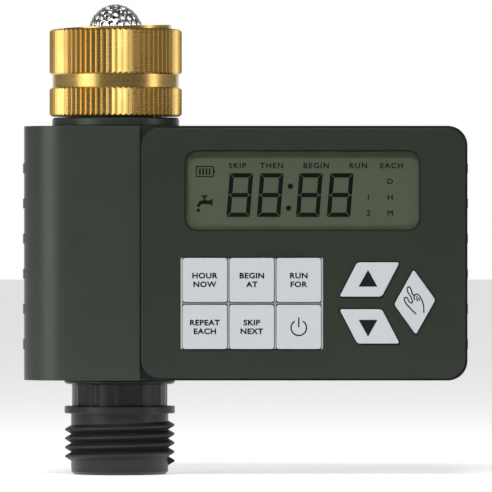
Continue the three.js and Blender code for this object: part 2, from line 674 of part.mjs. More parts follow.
const keyGrid = [];
for (let row = 0; row < keypad.rows; row += 1) {
  for (let column = 0; column < keypad.columns; column += 1) {
    keyGrid.push([
      bezel.left + keypad.fromLeft + (column - (keypad.columns - 1) / 2) * key.pitch,
      top - keypad.drop - (row - (keypad.rows - 1) / 2) * key.pitch,
    ]);
  }
}
const gridX = bezel.left + keypad.fromLeft;
const gridZ = top - keypad.drop;
const gridHalf = {
  x: ((keypad.columns - 1) * key.pitch + key.width) / 2,
  z: ((keypad.rows - 1) * key.pitch + key.height) / 2,
};
const gridOutline = (margin) => rectangle(
  gridX - gridHalf.x - margin, gridX + gridHalf.x + margin,
  gridZ - gridHalf.z - margin, gridZ + gridHalf.z + margin, key.round + Math.max(margin, -0.3));

const arrowX = bezel.left + arrowKey.fromLeft;
const arrowZ = (side) => top - arrowKey.drop + (side * arrowKey.spacing) / 2;

/** Corners of a parallelogram key; `side` is 1 for the upper key and -1 for the lower one. */
function arrowCorners(side) {
  const halfWidth = arrowKey.width / 2;
  const halfLean = (side * arrowKey.lean) / 2;
  const halfHeight = arrowKey.height / 2;
  const z = arrowZ(side);
  return [
    [arrowX - halfWidth - halfLean, z - halfHeight], [arrowX + halfWidth - halfLean, z - halfHeight],
    [arrowX + halfWidth + halfLean, z + halfHeight], [arrowX - halfWidth + halfLean, z + halfHeight],
  ];
}

const manualX = bezel.left + manualKey.fromLeft;
const manualZ = top - manualKey.drop;
const manualCorners = [
  [manualX + manualKey.skewX, manualZ - manualKey.halfHeight],
  [manualX + manualKey.halfWidth, manualZ + manualKey.skewZ],
  [manualX - manualKey.skewX, manualZ + manualKey.halfHeight],
  [manualX - manualKey.halfWidth, manualZ - manualKey.skewZ],
];

/** Corner points of a convex outline moved outwards by a margin. */
function grown(corners, margin) {
  return corners.map(([x, y], i) => {
    const before = corners.at(i - 1);
    const after = corners[(i + 1) % corners.length];
    const incoming = new THREE.Vector2(x - before[0], y - before[1]).normalize();
    const outgoing = new THREE.Vector2(after[0] - x, after[1] - y).normalize();
    const normal = new THREE.Vector2(incoming.y + outgoing.y, -incoming.x - outgoing.x).normalize();
    const reach = margin / normal.dot(new THREE.Vector2(incoming.y, -incoming.x));
    return [x + normal.x * reach, y + normal.y * reach];
  });
}

const shapedKeys = [
  ['key_up', arrowCorners(1), arrowX, arrowZ(1), arrowKey.round],
  ['key_down', arrowCorners(-1), arrowX, arrowZ(-1), arrowKey.round],
  ['key_manual', manualCorners, manualX, manualZ, manualKey.round],
];
const gridNames = [
  'key_set_clock', 'key_start_time', 'key_how_long', 'key_how_often', 'key_rain_delay', 'key_power',
];

function keys() {
  const keyPiece = (name, outline, x, z) => {
    const cap = prismY(outline, keyFront, keyBack);
    const stem = bar('y', key.stem, keyBack - 0.2, keyTip, x, z, 6);
    piece(name, join(cap, stem), keyGrey);
  };
  gridNames.forEach((name, i) => {
    const [x, z] = keyGrid[i];
    const [halfWidth, halfHeight] = [key.width / 2, key.height / 2];
    keyPiece(name, rectangle(x - halfWidth, x + halfWidth, z - halfHeight, z + halfHeight, key.round), x, z);
  });
  shapedKeys.forEach(([name, corners, x, z, round]) => keyPiece(name, roundedOutline(corners, round), x, z));
}

const keyCentres = [...keyGrid, ...shapedKeys.map(([, , x, z]) => [x, z])];
const mat = {
  x0: gridX - gridHalf.x - keypad.margin, x1: manualX + manualKey.halfWidth + keypad.margin,
  z0: gridZ - gridHalf.z - keypad.margin, z1: Math.min(gridZ + gridHalf.z + keypad.margin, windowZ - 13),
};

function keypadMat() {
  const sheet = prismY(rectangle(mat.x0, mat.x1, mat.z0, mat.z1, 1), matSheetFront, matBack);
  const plateaus = [
    prismY(gridOutline(0), matFront, matSheetFront + 0.2),
    ...shapedKeys.map(([, corners, , , round]) =>
      prismY(roundedOutline(corners, round), matFront, matSheetFront + 0.2)),
  ];
  const holes = keyCentres.map(([x, z]) => bar('y', key.stem + 0.4, matFront - 1, matBack + 1, x, z, 8));
  piece('keypad_mat', cut(join(sheet, ...plateaus), ...holes), webGrey);
}

const windowOutline = (margin, round = window_.round + margin) => rectangle(
  windowX - window_.width / 2 - margin, windowX + window_.width / 2 + margin,
  windowZ - window_.height / 2 - margin, windowZ + window_.height / 2 + margin, Math.max(round, 0.3));

const frameMargin = display.overlap + GAP + display.frameWall;
const boardBox = {
  x0: board.left, x1: right - housing.wall - board.inset,
  z0: bottom + housing.wall + board.inset, z1: top - housing.wall - board.inset,
};
const pegs = [
  [boardBox.x0 + 2.2, windowZ - window_.height / 2 - frameMargin - 1.55],
  [boardBox.x1 - 2.6, boardBox.z1 - 4.5],
  [boardBox.x1 - 2.6, boardBox.z0 + 3],
  [boardBox.x0 + 3.5, boardBox.z0 + 2],
];
const pegRadius = 1.0;

function frontBezel() {
  const outline = rectangle(bezel.left, bezelRight, bezelBottom, bezelTop, bezel.round);
  const plate = prismY(outline, bezelFront, bezelBack);
  const paneRebate = prismY(windowOutline(window_.lip + GAP), bezelFront + window_.lipDepth, bezelBack + 1);
  const openings = [
    prismY(windowOutline(0), bezelFront - 1, bezelBack + 1),
    prismY(gridOutline(GAP), bezelFront - 1, bezelBack + 1),
    ...shapedKeys.map(([, corners, , , round]) =>
      prismY(roundedOutline(grown(corners, GAP), round + GAP), bezelFront - 1, bezelBack + 1)),
  ];
  const posts = pegs.map(([x, z]) => bar('y', pegRadius, bezelBack - 0.2, boardBack + 0.4, x, z, 8));
  piece('front_bezel', join(cut(plate, paneRebate, ...openings), ...posts), panelGreen);
}

function displayStack() {
  const pane = prismY(windowOutline(window_.lip), paneFront, paneFront + window_.thickness);
  piece('display_window', pane, clear);
  piece('display_glass', prismY(windowOutline(display.overlap, 0.5), glassFront, glassBack), glassGreen);
  const frame = cut(
    prismY(windowOutline(frameMargin, 1), glassFront, frameBack),
    prismY(windowOutline(display.overlap + GAP, 0.6), glassFront - 1, glassBack + GAP),
    prismY(windowOutline(-1, 1), glassFront, frameBack + 1));
  piece('display_frame', frame, black);
}

function mainBoard() {
  const { x0, x1, z0, z1 } = boardBox;
  const holes = pegs.map(([x, z]) => bar('y', pegRadius + GAP, boardFront - 1, boardBack + 1, x, z, 8));
  const bossNotches = screwPlaces.map(([x, z]) =>
    bar('y', screw.boss + GAP, boardFront - 1, boardBack + 1, x, z));
  const sheet = prismY(rectangle(x0, x1, z0, z1, housing.panelRound - housing.wall), boardFront, boardBack);
  piece('main_board', cut(sheet, ...holes, ...bossNotches), boardGreen);
}

keys();
keypadMat();
frontBezel();
displayStack();
mainBoard();

// ---------------------------------------------------------------- battery tray

const trayBox = {
  x0: trayX - trayWidth / 2, x1: trayX + trayWidth / 2,
  z0: wellZ - trayHeight / 2, z1: wellZ + trayHeight / 2,
};
const cellOffset = cell.radius + GAP + tray.wall / 2;
const cellZ = (up) => wellZ + (up * tray.spring) / 2;
const trayOutline = (margin) => rectangle(
  trayBox.x0 - margin, trayBox.x1 + margin, trayBox.z0 - margin, trayBox.z1 + margin, tray.round + margin);
const doorOutline = (margin) => trayOutline(tray.overhang + margin);
const finger = { radius: 5.5, length: 22, rise: 4.4 };   // the groove's axis stands `rise` above the door
const tab = { width: 5, pinRadius: 1.0, pinDrop: 1.2 };
const contactDepth = 5;

function batteryTray() {
  const { x0, x1, z0, z1 } = trayBox;
  const body = prismY(trayOutline(0), trayFront, doorFront + 0.2);
  const door = prismY(doorOutline(0), doorFront, back);
  const bay = (side) => {
    const near = side < 0 ? x0 + tray.wall : trayX + tray.wall / 2;
    const far = near + 2 * (cell.radius + GAP);
    return block(near, far, trayFront - 1, doorFront - 0.001, z0 + tray.wall, z1 - tray.wall);
  };
  const bridgeSlot = block(
    trayX - tray.wall, trayX + tray.wall, cellY - contactDepth / 2 - GAP, cellY + contactDepth / 2 + GAP,
    z0 + tray.wall, z0 + tray.wall + tray.strip + 2 * GAP);
  const reach = finger.length / 2;
  const fingerGroove = bar('z', finger.radius, wellZ - reach, wellZ + reach, trayX, back + finger.rise, 20);
  piece('battery_tray', cut(join(body, door), bay(-1), bay(1), bridgeSlot, fingerGroove), green);
  const ring = cut(
    prismY(doorOutline(-0.2), sealFront, sealBack),
    prismY(trayOutline(GAP), sealFront - 1, sealBack + 1));
  piece('tray_seal', ring, rubber);
}

/** One cell standing up (1) or upside down (-1), with its contact spring under its flat end. */
function cellAndSpring(number, side, up) {
  const x = trayX + side * cellOffset;
  const can = cell.length - cell.nubHeight;
  const outline = [
    [0, -cell.length / 2], [cell.radius - 0.5, -cell.length / 2], [cell.radius, -cell.length / 2 + 0.5],
    [cell.radius, can - cell.length / 2 - 0.5], [cell.radius - 0.5, can - cell.length / 2],
    [cell.nub, can - cell.length / 2], [cell.nub, cell.length / 2], [0, cell.length / 2],
  ];
  const profile = outline.map(([r, z]) => [r, up * z]);
  const group = new THREE.Group();
  group.position.set(x, cellY, 0);
  object.add(group);
  piece(`battery_cell_${number}`, turned(profile, 0, 16), cellBlue, [0, 0, cellZ(up)], group);
  const far = cellZ(up) - up * (cell.length / 2 + GAP);
  const near = far - up * (tray.spring - GAP);
  const spring = turned([[2.2, near], [4.4, near], [3.2, far], [1.6, far]], 0, 16);
  piece(`contact_spring_${number}`, spring, steel, [0, 0, 0], group);
}

const contactPinZ = trayBox.z1 - tray.wall - (GAP + tray.strip) / 2 - tab.pinDrop;

function batteryContacts() {
  const { x0, x1, z0, z1 } = trayBox;
  const inner = tray.wall + GAP / 2;
  const reach = contactDepth / 2;
  const bridge = block(x0 + inner + GAP, x1 - inner - GAP, cellY - reach, cellY + reach,
    z0 + inner, z0 + inner + tray.strip);
  piece('cell_bridge', bridge, steel);
  [-1, 1].forEach((side) => {
    const x = trayX + side * cellOffset;
    const name = side < 0 ? 'plus' : 'minus';
    const strip = block(x - tab.width / 2, x + tab.width / 2, trayFront, cellY + reach,
      z1 - inner - tray.strip, z1 - inner);
    piece(`tray_contact_${name}`, strip, steel);
    const pin = join(
      bar('y', tab.pinRadius, boardBack + GAP, wellFront - 0.05, x, contactPinZ, 10),
      bar('y', tab.pinRadius * 1.6, boardBack + GAP, boardBack + GAP + 1, x, contactPinZ, 10));
    piece(`board_contact_${name}`, pin, steel);
  });
}

batteryTray();
cellAndSpring(1, -1, 1);
cellAndSpring(2, 1, -1);
batteryContacts();

// ---------------------------------------------------------------- housing

/** The housing's outer form: its front and back outline crossed with its plan, moved inwards by an inset. */
function housingForm(inset) {
  const shrink = (radius) => Math.max(radius - inset, 0.3);
  const column = shrink(housing.columnRound);
  const end = shrink(housing.endRound);
  const corner = shrink(housing.columnCorner);
  const round = shrink(housing.panelRound);
  const face = prismY(
    rectangle(left + inset, right - inset, bottom + inset, top - inset, [corner, round, round, corner]),
    front + inset, back - inset);
  const plan = prismZ(
    rectangle(left + inset, right - inset, front + inset, back - inset, [column, end, end, column]),
    bottom + inset, top - inset);
  return face.intersect(plan);
}

/** Low bars on both ends of the housing, for grip. */
function gripNubs() {
  const column = housing.columnRound + nub.proud;
  const end = housing.endRound + nub.proud;
  const skin = prismZ(
    rectangle(left - nub.proud, right + nub.proud, front - nub.proud, back + nub.proud,
      [column, end, end, column]),
    bottom, top);
  const bars = [];
  for (let i = 0; i < nub.count; i += 1) {
    const z = top - nub.centreDrop + ((nub.count - 1) / 2 - i) * nub.pitch;
    const [z0, z1] = [z - nub.height / 2, z + nub.height / 2];
    bars.push(
      block(left - 1, left + nub.wrap, -nub.reach, nub.reach, z0, z1),
      block(right - 1, right + 1, -nub.reach, nub.reach, z0, z1));
  }
  return skin.intersect(join(...bars));
}

const wide = 200;   // more than the object's reach in any direction
const inFront = (y) => block(-wide, wide, -wide, y, -wide, wide);
const behind = (y) => block(-wide, wide, y, wide, -wide, wide);

function housingShells() {
  const outer = join(housingForm(0), gripNubs());
  const skin = cut(outer, housingForm(housing.wall));
  const inletHole = bar('z', collar.spigot + GAP, top - housing.wall - 1, top + 1, 0, 0, SIDES);
  const outletHole = bar('z', outletSpigot + GAP, bottom - 1, bottom + housing.wall + 1, ballX, 0, SIDES);
  const panelStep = block(bezel.left - GAP, wide, -wide, ledgeFront, -wide, wide);
  const ledgeSheet = block(bezel.left - GAP - housing.wall, wide, ledgeFront, ledgeBack, -wide, wide)
    .intersect(housingForm(0.001));
  const panelOpening = prismY(
    rectangle(bezel.left + ledge.width, right - ledge.width, bottom + ledge.width, top - ledge.width, 2),
    ledgeFront - 1, ledgeBack + 1);
  const frontLimit = housing.split - GAP / 2;
  const rearLimit = housing.split + GAP / 2;

  const bossStart = (x) => (x + screw.boss > bezel.left ? ledgeBack : front + housing.wall - 0.5);
  const frontBosses = screwPlaces.map(([x, z]) => {
    const wallZ = z > wellZ ? top - 1 : bottom + 1;
    return join(
      bar('y', screw.boss, bossStart(x), frontLimit, x, z),
      block(x - 1, x + 1, bossStart(x), frontLimit, Math.min(z, wallZ), Math.max(z, wallZ)),
    ).intersect(housingForm(0.5));
  });
  const pilots = screwPlaces.map(([x, z]) =>
    bar('y', screw.shank + GAP, frontLimit - screw.bite - 0.5, frontLimit + 1, x, z));
  const openFront = cut(join(cut(skin, panelStep), ledgeSheet), panelOpening);
  const frontHalf = join(openFront, ...frontBosses).intersect(inFront(frontLimit));
  piece('front_shell', cut(frontHalf, inletHole, outletHole, ...pilots), green);

  const wellBlock = prismY(trayOutline(GAP + well.wall), wellFront - well.wall, back - 0.5)
    .intersect(housingForm(0.4));
  const wellHollow = prismY(trayOutline(GAP), wellFront, back + 1);
  const doorHollow = prismY(doorOutline(GAP), stepY, back + 1);
  // Heads near the rounded column sit a little deeper, below its curve.
  const headSeat = (x) => back - screw.sink - Math.max(0, left + housing.columnRound - x) * 0.12;
  const rearBosses = screwPlaces.map(([x, z]) =>
    bar('y', screw.boss, rearLimit, back, x, z).intersect(housingForm(0.3)));
  const sinks = screwPlaces.map(([x, z]) => bar('y', screw.head, headSeat(x), back + 1, x, z));
  const shankHoles = screwPlaces.map(([x, z]) => bar('y', screw.shank + GAP, rearLimit - 1, back + 1, x, z));
  const collars = screwPlaces.map(([x, z]) =>
    bar('y', screw.head + 0.9, headSeat(x) - 1.2, back, x, z).intersect(housingForm(0.3)));
  const pinHoles = [-1, 1].map((side) =>
    bar('y', tab.pinRadius + GAP, wellFront - well.wall - 1, wellFront + 1,
      trayX + side * cellOffset, contactPinZ));
  const grooveRing = cut(
    prismY(splitOutline(0.5), rearLimit - 1, rearLimit + 1.0),
    prismY(splitOutline(1.9), rearLimit - 2, rearLimit + 2));
  const rearHalf = cut(join(skin, wellBlock, ...rearBosses, ...collars), wellHollow, doorHollow)
    .intersect(behind(rearLimit));
  const rearHoles = [inletHole, outletHole, ...sinks, ...shankHoles, ...pinHoles, grooveRing];
  piece('rear_shell', cut(rearHalf, ...rearHoles), green);

  const sealRing = cut(
    prismY(splitOutline(0.75), rearLimit, rearLimit + 0.7),
    prismY(splitOutline(1.65), rearLimit - 1, rearLimit + 2));
  const inletGap = collar.spigot + 2 * GAP;
  const outletGap = outletSpigot + 2 * GAP;
  const gaps = [
    block(-inletGap, inletGap, -wide, wide, top - 5, top + 1),
    block(ballX - outletGap, ballX + outletGap, -wide, wide, bottom - 1, bottom + 5),
  ];
  piece('housing_seal_left', cut(sealRing, ...gaps, block(0, wide, -wide, wide, -wide, wide)), rubber);
  piece('housing_seal_right', cut(sealRing, ...gaps, block(-wide, 0, -wide, wide, -wide, wide)), rubber);
  screwPlaces.forEach(([x, z], i) => {
    panScrew(`housing_screw_${i + 1}`, 'y', headSeat(x) + GAP, frontLimit - screw.bite, x, z);
  });
}

/** The housing's outline at the parting plane, moved inwards. */
function splitOutline(inset) {
  const corner = Math.max(housing.columnCorner - inset, 0.3);
  const round = Math.max(housing.panelRound - inset, 0.3);
  return rectangle(left + inset, right - inset, bottom + inset, top - inset,
    [corner, round, round, corner]);
}

housingShells();

export default object;
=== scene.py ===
"""A hose-tap irrigation timer with a brass swivel inlet, a control panel and a threaded outlet."""
import json
import math

import bpy
from mathutils import Matrix, Vector

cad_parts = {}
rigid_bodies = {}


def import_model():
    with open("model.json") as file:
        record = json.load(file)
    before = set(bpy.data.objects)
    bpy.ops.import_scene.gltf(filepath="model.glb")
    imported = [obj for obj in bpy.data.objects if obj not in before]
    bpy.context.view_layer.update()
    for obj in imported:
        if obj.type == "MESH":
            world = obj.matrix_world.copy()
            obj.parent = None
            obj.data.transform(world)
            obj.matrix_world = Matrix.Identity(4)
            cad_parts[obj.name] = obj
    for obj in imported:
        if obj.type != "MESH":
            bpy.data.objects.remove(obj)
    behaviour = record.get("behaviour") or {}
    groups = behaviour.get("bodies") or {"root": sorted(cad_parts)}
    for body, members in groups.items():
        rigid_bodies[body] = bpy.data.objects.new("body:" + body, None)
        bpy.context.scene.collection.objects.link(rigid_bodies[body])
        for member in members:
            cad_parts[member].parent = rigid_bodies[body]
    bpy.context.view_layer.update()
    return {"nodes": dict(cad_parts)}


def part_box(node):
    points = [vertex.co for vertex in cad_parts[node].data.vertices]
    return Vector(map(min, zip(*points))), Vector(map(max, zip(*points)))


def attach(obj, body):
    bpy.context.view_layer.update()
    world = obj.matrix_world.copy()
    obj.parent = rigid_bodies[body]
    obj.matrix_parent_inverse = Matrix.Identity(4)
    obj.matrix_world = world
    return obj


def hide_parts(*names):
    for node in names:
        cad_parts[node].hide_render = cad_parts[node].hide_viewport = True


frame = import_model()

MM = 0.001
OBJECTS = bpy.data.objects


# ------------------------------------------------------------------ places taken from the frame

def corners(node):
    """The lowest and highest corners of a node, in metres."""
    low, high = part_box(node)
    return Vector(low), Vector(high)


SHELL_LOW, SHELL_HIGH = corners("front_shell")
REAR_LOW, REAR_HIGH = corners("rear_shell")
BEZEL_LOW, BEZEL_HIGH = corners("front_bezel")
NUT_LOW, NUT_HIGH = corners("inlet_nut")
COLLAR_LOW, COLLAR_HIGH = corners("inlet_collar")
FILTER_LOW, FILTER_HIGH = corners("inlet_filter")
OUTLET_LOW, OUTLET_HIGH = corners("outlet_fitting")
PANE_LOW, PANE_HIGH = corners("display_window")
GLASS_LOW, GLASS_HIGH = corners("display_glass")
MAT_LOW, MAT_HIGH = corners("keypad_mat")
TRAY_LOW, TRAY_HIGH = corners("battery_tray")

NUB_PROUD = 0.28 * MM
LEFT = SHELL_LOW.x + NUB_PROUD
RIGHT = SHELL_HIGH.x - NUB_PROUD
TOP = SHELL_HIGH.z
BOTTOM = SHELL_LOW.z
FRONT = SHELL_LOW.y
BACK = REAR_HIGH.y
WALL = 2.4 * MM
OUTLET_X = (OUTLET_LOW.x + OUTLET_HIGH.x) / 2
WINDOW_X = (PANE_LOW.x + PANE_HIGH.x) / 2
WINDOW_Z = (PANE_LOW.z + PANE_HIGH.z) / 2


# ------------------------------------------------------------------ shader maths

class Value:
    """A socket that takes part in Python expressions; each operation adds its Math node."""

    def __init__(self, finish, socket):
        self.finish = finish
        self.socket = socket

    def math(self, operation, other):
        return self.finish.node("ShaderNodeMath", {"operation": operation}, {0: self, 1: other})

    def __add__(self, other):
        return self.math("ADD", other)

    __radd__ = __add__

    def __sub__(self, other):
        return self.math("SUBTRACT", other)

    def __mul__(self, other):
        return self.math("MULTIPLY", other)

    __rmul__ = __mul__


class Finish:
    """A material whose nodes are added by `node`."""

    def __init__(self, name, color, roughness, metallic=0.0, **constants):
        self.material = bpy.data.materials.new(name)
        self.material.use_nodes = True
        self.tree = self.material.node_tree
        self.shader = self.tree.nodes["Principled BSDF"]
        self.set("Base Color", (*color, 1.0))
        self.set("Roughness", roughness)
        self.set("Metallic", metallic)
        for socket, value in constants.items():
            self.set(socket.replace("_", " "), value)
        self.place = self.node("ShaderNodeTexCoord", {}, {}, "Object")

    def node(self, kind, settings, inputs, output=0):
        made = self.tree.nodes.new(kind)
        for name, value in settings.items():
            setattr(made, name, value)
        for name, value in inputs.items():
            if isinstance(value, Value):
                self.tree.links.new(value.socket, made.inputs[name])
            else:
                made.inputs[name].default_value = value
        return Value(self, made.outputs[output])

    def set(self, socket, value):
        if isinstance(value, Value):
            self.tree.links.new(value.socket, self.shader.inputs[socket])
        else:
            self.shader.inputs[socket].default_value = value

    def noise(self, scale, detail=2.0, stretch=(1.0, 1.0, 1.0), roughness=0.5):
        place = self.node("ShaderNodeMapping", {}, {"Vector": self.place, "Scale": stretch})
        inputs = {"Vector": place, "Scale": scale, "Detail": detail, "Roughness": roughness}
        return self.node("ShaderNodeTexNoise", {}, inputs)

    def mix(self, factor, first, second):
        inputs = {"Factor": factor, 6: (*first, 1.0), 7: (*second, 1.0)}
        return self.node("ShaderNodeMix", {"data_type": "RGBA"}, inputs, output=2)

    def bump(self, height, strength, distance):
        inputs = {"Height": height, "Strength": strength, "Distance": distance}
        self.set("Normal", self.node("ShaderNodeBump", {}, inputs))


# ------------------------------------------------------------------ finishes

def moulded(name, dark, light, roughness, grain=2600.0, depth=0.05, gloss=0.35):
    """Moulded plastic: a fine spark-eroded grain, faint flow marks and slightly uneven gloss."""
    finish = Finish(name, dark, roughness, Specular_IOR_Level=gloss)
    flow = finish.noise(38.0, 3.0, (1.0, 1.0, 0.35))
    finish.set("Base Color", finish.mix(flow, dark, light))
    fine = finish.noise(grain, 2.0)
    smudge = finish.noise(90.0, 3.0)
    finish.set("Roughness", roughness - 0.05 + smudge * 0.1 + (fine - 0.5) * 0.06)
    finish.bump(fine, depth, 0.05 * MM)
    return finish.material


HOUSING = moulded("housing_green", (0.021, 0.029, 0.020), (0.025, 0.034, 0.024), 0.34, gloss=0.45)
PANEL = moulded("panel_green", (0.015, 0.0215, 0.014), (0.018, 0.0255, 0.017), 0.36)
BLACK = moulded("outlet_black", (0.008, 0.008, 0.009), (0.014, 0.014, 0.015), 0.34)
MATT_BLACK = moulded("thread_black", (0.011, 0.011, 0.012), (0.018, 0.018, 0.019), 0.5, depth=0.12)
KEY = moulded("key_grey", (0.43, 0.46, 0.47), (0.46, 0.49, 0.50), 0.42, grain=3200.0, depth=0.03)
WEB = moulded("keypad_web", (0.36, 0.39, 0.41), (0.41, 0.44, 0.46), 0.62)
VALVE_WHITE = moulded("valve_white", (0.70, 0.69, 0.64), (0.76, 0.75, 0.70), 0.4)
GEAR = moulded("gear_acetal", (0.70, 0.67, 0.58), (0.76, 0.74, 0.66), 0.38)
RUBBER = moulded("seal_rubber", (0.016, 0.016, 0.018), (0.024, 0.024, 0.026), 0.7, grain=1500.0, depth=0.2)
# near-black finish that is painted shade: it darkens the ledge in the gap round the front plate and frames
# the window opening
PAINTED_SHADE = moulded("painted_gap_shade", (0.004, 0.005, 0.004), (0.006, 0.007, 0.006), 0.7)


def brass():
    """Turned and polished brass with fine lathe lines round the axis and a warm tarnish in patches."""
    finish = Finish("nut_brass", (0.72, 0.48, 0.16), 0.24, 1.0)
    tarnish = finish.noise(120.0, 4.0)
    finish.set("Base Color", finish.mix(tarnish, (0.80, 0.56, 0.20), (0.62, 0.38, 0.10)))
    lines = finish.noise(60.0, 3.0, (1.0, 1.0, 60.0))
    finish.set("Roughness", 0.18 + tarnish * 0.12 + lines * 0.08)
    finish.bump(lines, 0.08, 0.04 * MM)
    return finish.material


def metal(name, color, roughness):
    finish = Finish(name, color, roughness, 1.0)
    cloud = finish.noise(260.0, 3.0)
    finish.set("Roughness", roughness - 0.04 + cloud * 0.12)
    finish.bump(finish.noise(1800.0, 2.0), 0.05, 0.03 * MM)
    return finish.material


def display_face():
    """The reflective layer of a liquid crystal display: grey-green with a silky grain."""
    finish = Finish("display_green", (0.21, 0.25, 0.155), 0.35)
    silk = finish.noise(900.0, 3.0, (1.0, 1.0, 0.2))
    finish.set("Base Color", finish.mix(silk, (0.200, 0.238, 0.150), (0.225, 0.265, 0.170)))
    finish.set("Roughness", 0.28 + silk * 0.1)
    return finish.material


def ink(name, color, roughness):
    """Printed or driven marks: one dark tone, broken a little by the print."""
    finish = Finish(name, color, roughness, Specular_IOR_Level=0.15)
    grain = finish.noise(1400.0, 2.0)
    finish.set("Base Color", finish.mix(grain, color, tuple(1.5 * c for c in color)))
    finish.set("Roughness", roughness + grain * 0.08)
    return finish.material


def clear_pane():
    """Clear acrylic: see-through, with a mirror gloss that grows towards grazing angles."""
    finish = Finish("window_clear", (0.9, 0.92, 0.9), 0.05)
    tree = finish.tree
    tree.nodes.remove(finish.shader)
    fresnel = finish.node("ShaderNodeFresnel", {}, {"IOR": 1.45})
    smears = finish.noise(60.0, 3.0)
    see = finish.node("ShaderNodeBsdfTransparent", {}, {"Color": (0.95, 0.965, 0.95, 1.0)})
    gloss = finish.node("ShaderNodeBsdfGlossy", {}, {"Roughness": 0.04 + smears * 0.05})
    both = finish.node("ShaderNodeMixShader", {}, {0: fresnel, 1: see, 2: gloss})
    tree.links.new(both.socket, tree.nodes["Material Output"].inputs["Surface"])
    return finish.material


BRASS = brass()
STEEL = metal("bright_steel", (0.62, 0.63, 0.65), 0.22)
MESH_STEEL = metal("filter_steel", (0.80, 0.81, 0.83), 0.14)
DISPLAY = display_face()
SEGMENT = ink("segment_ink", (0.0022, 0.0024, 0.0018), 0.6)
LEGEND = ink("legend_ink", (0.004, 0.004, 0.005), 0.6)
CLEAR = clear_pane()
BOARD = moulded("solder_mask", (0.015, 0.10, 0.04), (0.02, 0.13, 0.05), 0.35)
CELL = ink("cell_wrap", (0.03, 0.09, 0.16), 0.3)
RED = ink("lead_red", (0.30, 0.02, 0.015), 0.45)


# ------------------------------------------------------------------ modelling steps

def lone(obj):
    """Selects one object only and makes it the active one."""
    bpy.ops.object.select_all(action="DESELECT")
    obj.select_set(True)
    bpy.context.view_layer.objects.active = obj
    return obj


def edit(obj, mode="VERT"):
    lone(obj)
    bpy.ops.object.mode_set(mode="EDIT")
    bpy.ops.mesh.select_mode(type=mode)


def done():
    bpy.ops.object.mode_set(mode="OBJECT")
    return bpy.context.object


def named(name, material=None):
    obj = bpy.context.object
    obj.name = name
    obj.data.name = name
    if material:
        obj.data.materials.clear()
        obj.data.materials.append(material)
    return obj


def settle(obj):
    """Puts the place and size of an object into its mesh."""
    lone(obj)
    bpy.ops.object.transform_apply(location=True, rotation=True, scale=True)
    return obj


def apply(obj, kind, **settings):
    lone(obj)
    modifier = obj.modifiers.new(kind.title(), kind)
    for name, value in settings.items():
        setattr(modifier, name, value)
    bpy.ops.object.modifier_apply(modifier=modifier.name)
    return obj


def block(name, low, high, material=None):
    low, high = Vector(low), Vector(high)
    bpy.ops.object.select_all(action="DESELECT")
    bpy.ops.mesh.primitive_cube_add(size=1.0, location=(low + high) / 2, scale=high - low)
    return settle(named(name, material))


def round_edges(obj, chosen, radius, segments=10):
    """Bevels the edges whose two ends satisfy `chosen(a, b)`."""
    edit(obj, "EDGE")
    bpy.ops.mesh.select_all(action="DESELECT")
    bpy.ops.object.mode_set(mode="OBJECT")
    mesh = obj.data
    for edge in mesh.edges:
        first, second = (mesh.vertices[i].co for i in edge.vertices)
        edge.select = chosen(first, second)
    bpy.ops.object.mode_set(mode="EDIT")
    bpy.ops.mesh.bevel(offset=radius, offset_type="OFFSET", segments=segments, affect="EDGES")
    return done()


def along(axis, test=lambda middle: True):
    """An edge test: the edge runs along an axis, and its middle passes the test."""
    def chosen(first, second):
        run = second - first
        others = [abs(run[i]) for i in range(3) if i != axis]
        return max(others) < 1e-6 and abs(run[axis]) > 1e-6 and test((first + second) / 2)
    return chosen


def boolean(obj, tool, operation="DIFFERENCE"):
    apply(obj, "BOOLEAN", object=tool, operation=operation, solver="EXACT")
    OBJECTS.remove(tool)
    return obj


def soften(obj, width, segments=3, angle=32.0):
    """Rounds every remaining sharp edge and smooths the shading."""
    apply(obj, "BEVEL", width=width, segments=segments, limit_method="ANGLE",
          angle_limit=math.radians(angle), harden_normals=False, miter_outer="MITER_ARC")
    smooth(obj)
    return apply(obj, "WEIGHTED_NORMAL", keep_sharp=True, weight=90)


def smooth(obj, angle=30.0):
    lone(obj)
    bpy.ops.object.shade_smooth_by_angle(angle=math.radians(angle))
    return obj


def joined(name, objects):
    bpy.ops.object.select_all(action="DESELECT")
    for obj in objects:
        obj.select_set(True)
    bpy.context.view_layer.objects.active = objects[0]
    if len(objects) > 1:
        bpy.ops.object.join()
    return named(name)


def cylinder(name, radius, low, high, centre, axis="Z", sides=96, material=None):
    turn = {"X": (0, math.pi / 2, 0), "Y": (math.pi / 2, 0, 0), "Z": (0, 0, 0)}[axis]
    middle = (low + high) / 2
    place = {"X": (middle, *centre), "Y": (centre[0], middle, centre[1]), "Z": (*centre, middle)}[axis]
    bpy.ops.object.select_all(action="DESELECT")
    bpy.ops.mesh.primitive_cylinder_add(
        vertices=sides, radius=radius, depth=high - low, location=place, rotation=turn)
    return settle(named(name, material))


def profile(name, points):
    """A chain of edges through [radius, z] points in the XZ plane, drawn by extruding one vertex."""
    bpy.ops.object.select_all(action="DESELECT")
    bpy.ops.mesh.primitive_plane_add(size=0.001)
    edit(bpy.context.object)
    bpy.ops.mesh.select_all(action="SELECT")
    bpy.ops.mesh.merge(type="CENTER")
    bpy.ops.transform.translate(value=(points[0][0], 0, points[0][1]))
    for (r0, z0), (r1, z1) in zip(points, points[1:]):
        bpy.ops.mesh.extrude_region_move(TRANSFORM_OT_translate={"value": (r1 - r0, 0, z1 - z0)})
    done()
    return named(name)


def tidy_normals(obj, merge=1e-6):
    edit(obj)
    bpy.ops.mesh.select_all(action="SELECT")
    bpy.ops.mesh.remove_doubles(threshold=merge)
    bpy.ops.mesh.normals_make_consistent(inside=False)
    return done()


